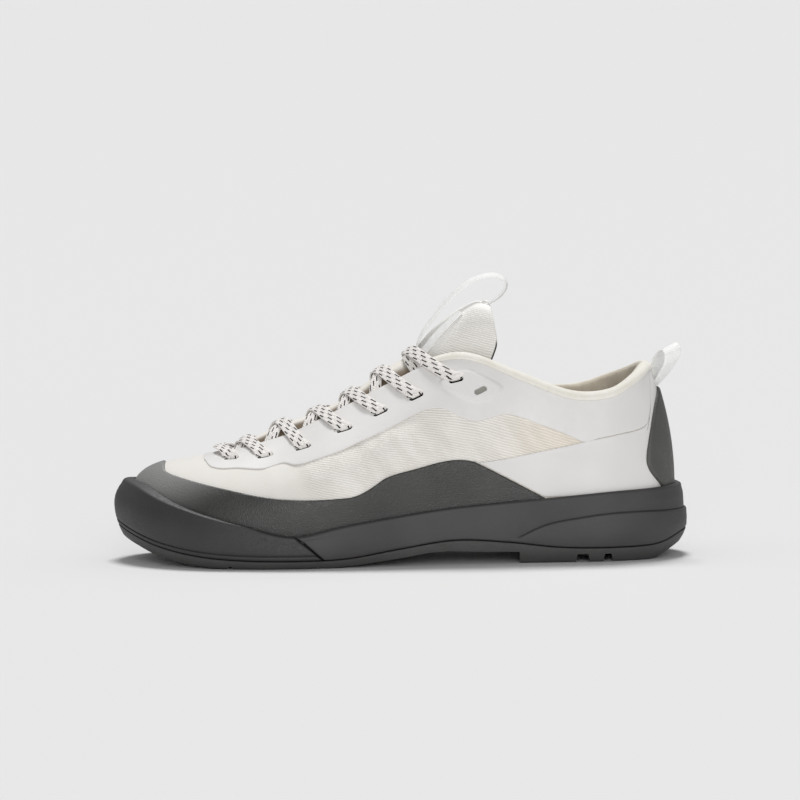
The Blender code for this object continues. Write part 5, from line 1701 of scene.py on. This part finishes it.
front_seam = [(FRONT_END, -1), (FRONT_END, FRONT_SEAM_TOP), (seam_front, FRONT_SEAM_TOP), (seam_front, -1)]
tools.append(side_tool("outer_front_seam", front_seam, *OUTER_SEAM_Y))
tools.append(side_tool("inner_front_seam", front_seam, *INNER_SEAM_Y))
cut_away(outsole, joined(tools, "tread_tools"))
bpy.ops.object.select_all(action="DESELECT")
outsole.select_set(True)
bpy.context.view_layer.objects.active = outsole
bpy.ops.object.shade_smooth_by_angle(angle=math.radians(OUTSOLE_SHARP_DEG))
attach(outsole, "root")
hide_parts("outsole")

# Floor, light and camera
# A plain pale studio floor without an edge in sight, a dim even sky, a key light from above and a little
# behind, and a soft fill from the front. A long lens on the outer side stands a little above the shoe and
# is slightly rolled.
FLOOR_SIZE = 120.0
SKY_LEVEL = 0.3
KEY_LEVEL = 2.2
KEY_AZIMUTH_DEG = 178
KEY_ELEVATION_DEG = 70
KEY_SPREAD_DEG = 18
FILL_LEVEL = 1.25
FILL_AZIMUTH_DEG = 5
FILL_ELEVATION_DEG = 11
FILL_SPREAD_DEG = 34
CAMERA_DISTANCE = 3.0
CAMERA_ELEVATION_DEG = 5.0
CAMERA_ROLL_DEG = -0.83
CAMERA_TARGET = Vector((0.0008, 0.0, 0.0824))
FRAME_WIDTH = 0.4178
SENSOR = 36.0

bpy.ops.object.select_all(action="DESELECT")
bpy.ops.mesh.primitive_plane_add(size=FLOOR_SIZE)
floor = bpy.context.object
floor.name = "studio_floor"
pale_matt = {"Base Color": colour(229, 229, 229), "Roughness": 0.9, "Specular IOR Level": 0.1}
floor.data.materials.append(new_finish("pale_floor", pale_matt))

scene = bpy.context.scene
scene.view_settings.view_transform = "Standard"
world = bpy.data.worlds.new("studio_sky")
world.use_nodes = True
scene.world = world
sky = world.node_tree.nodes["Background"]
sky.inputs["Color"].default_value = (1.0, 1.0, 1.0, 1.0)
sky.inputs["Strength"].default_value = SKY_LEVEL


def soft_light(name, level, azimuth_deg, elevation_deg, spread_deg):
    """A broad light, turned round from the camera's side towards the heel and raised over the floor."""
    azimuth, height = math.radians(azimuth_deg), math.radians(elevation_deg)
    level_way = Vector((math.sin(azimuth), -math.cos(azimuth), 0.0))
    to_light = level_way * math.cos(height) + Vector((0.0, 0.0, math.sin(height)))
    bpy.ops.object.light_add(type="SUN", rotation=to_light.to_track_quat("Z", "Y").to_euler())
    light = bpy.context.object
    light.name = name
    light.data.energy = level
    light.data.angle = math.radians(spread_deg)


soft_light("top_key", KEY_LEVEL, KEY_AZIMUTH_DEG, KEY_ELEVATION_DEG, KEY_SPREAD_DEG)
soft_light("front_fill", FILL_LEVEL, FILL_AZIMUTH_DEG, FILL_ELEVATION_DEG, FILL_SPREAD_DEG)

elevation = math.radians(CAMERA_ELEVATION_DEG)
back_way = Vector((0.0, -math.cos(elevation), math.sin(elevation)))
bpy.ops.object.camera_add(location=CAMERA_TARGET + back_way * CAMERA_DISTANCE)
camera = bpy.context.object
camera.name = "photo_camera"
camera.rotation_mode = "QUATERNION"
roll = Quaternion((0.0, 0.0, 1.0), math.radians(CAMERA_ROLL_DEG))
camera.rotation_quaternion = (-back_way).to_track_quat("-Z", "Y") @ roll
camera.data.sensor_width = SENSOR
camera.data.lens = SENSOR * CAMERA_DISTANCE / FRAME_WIDTH
camera.data.clip_end = 2 * FLOOR_SIZE
scene.camera = camera
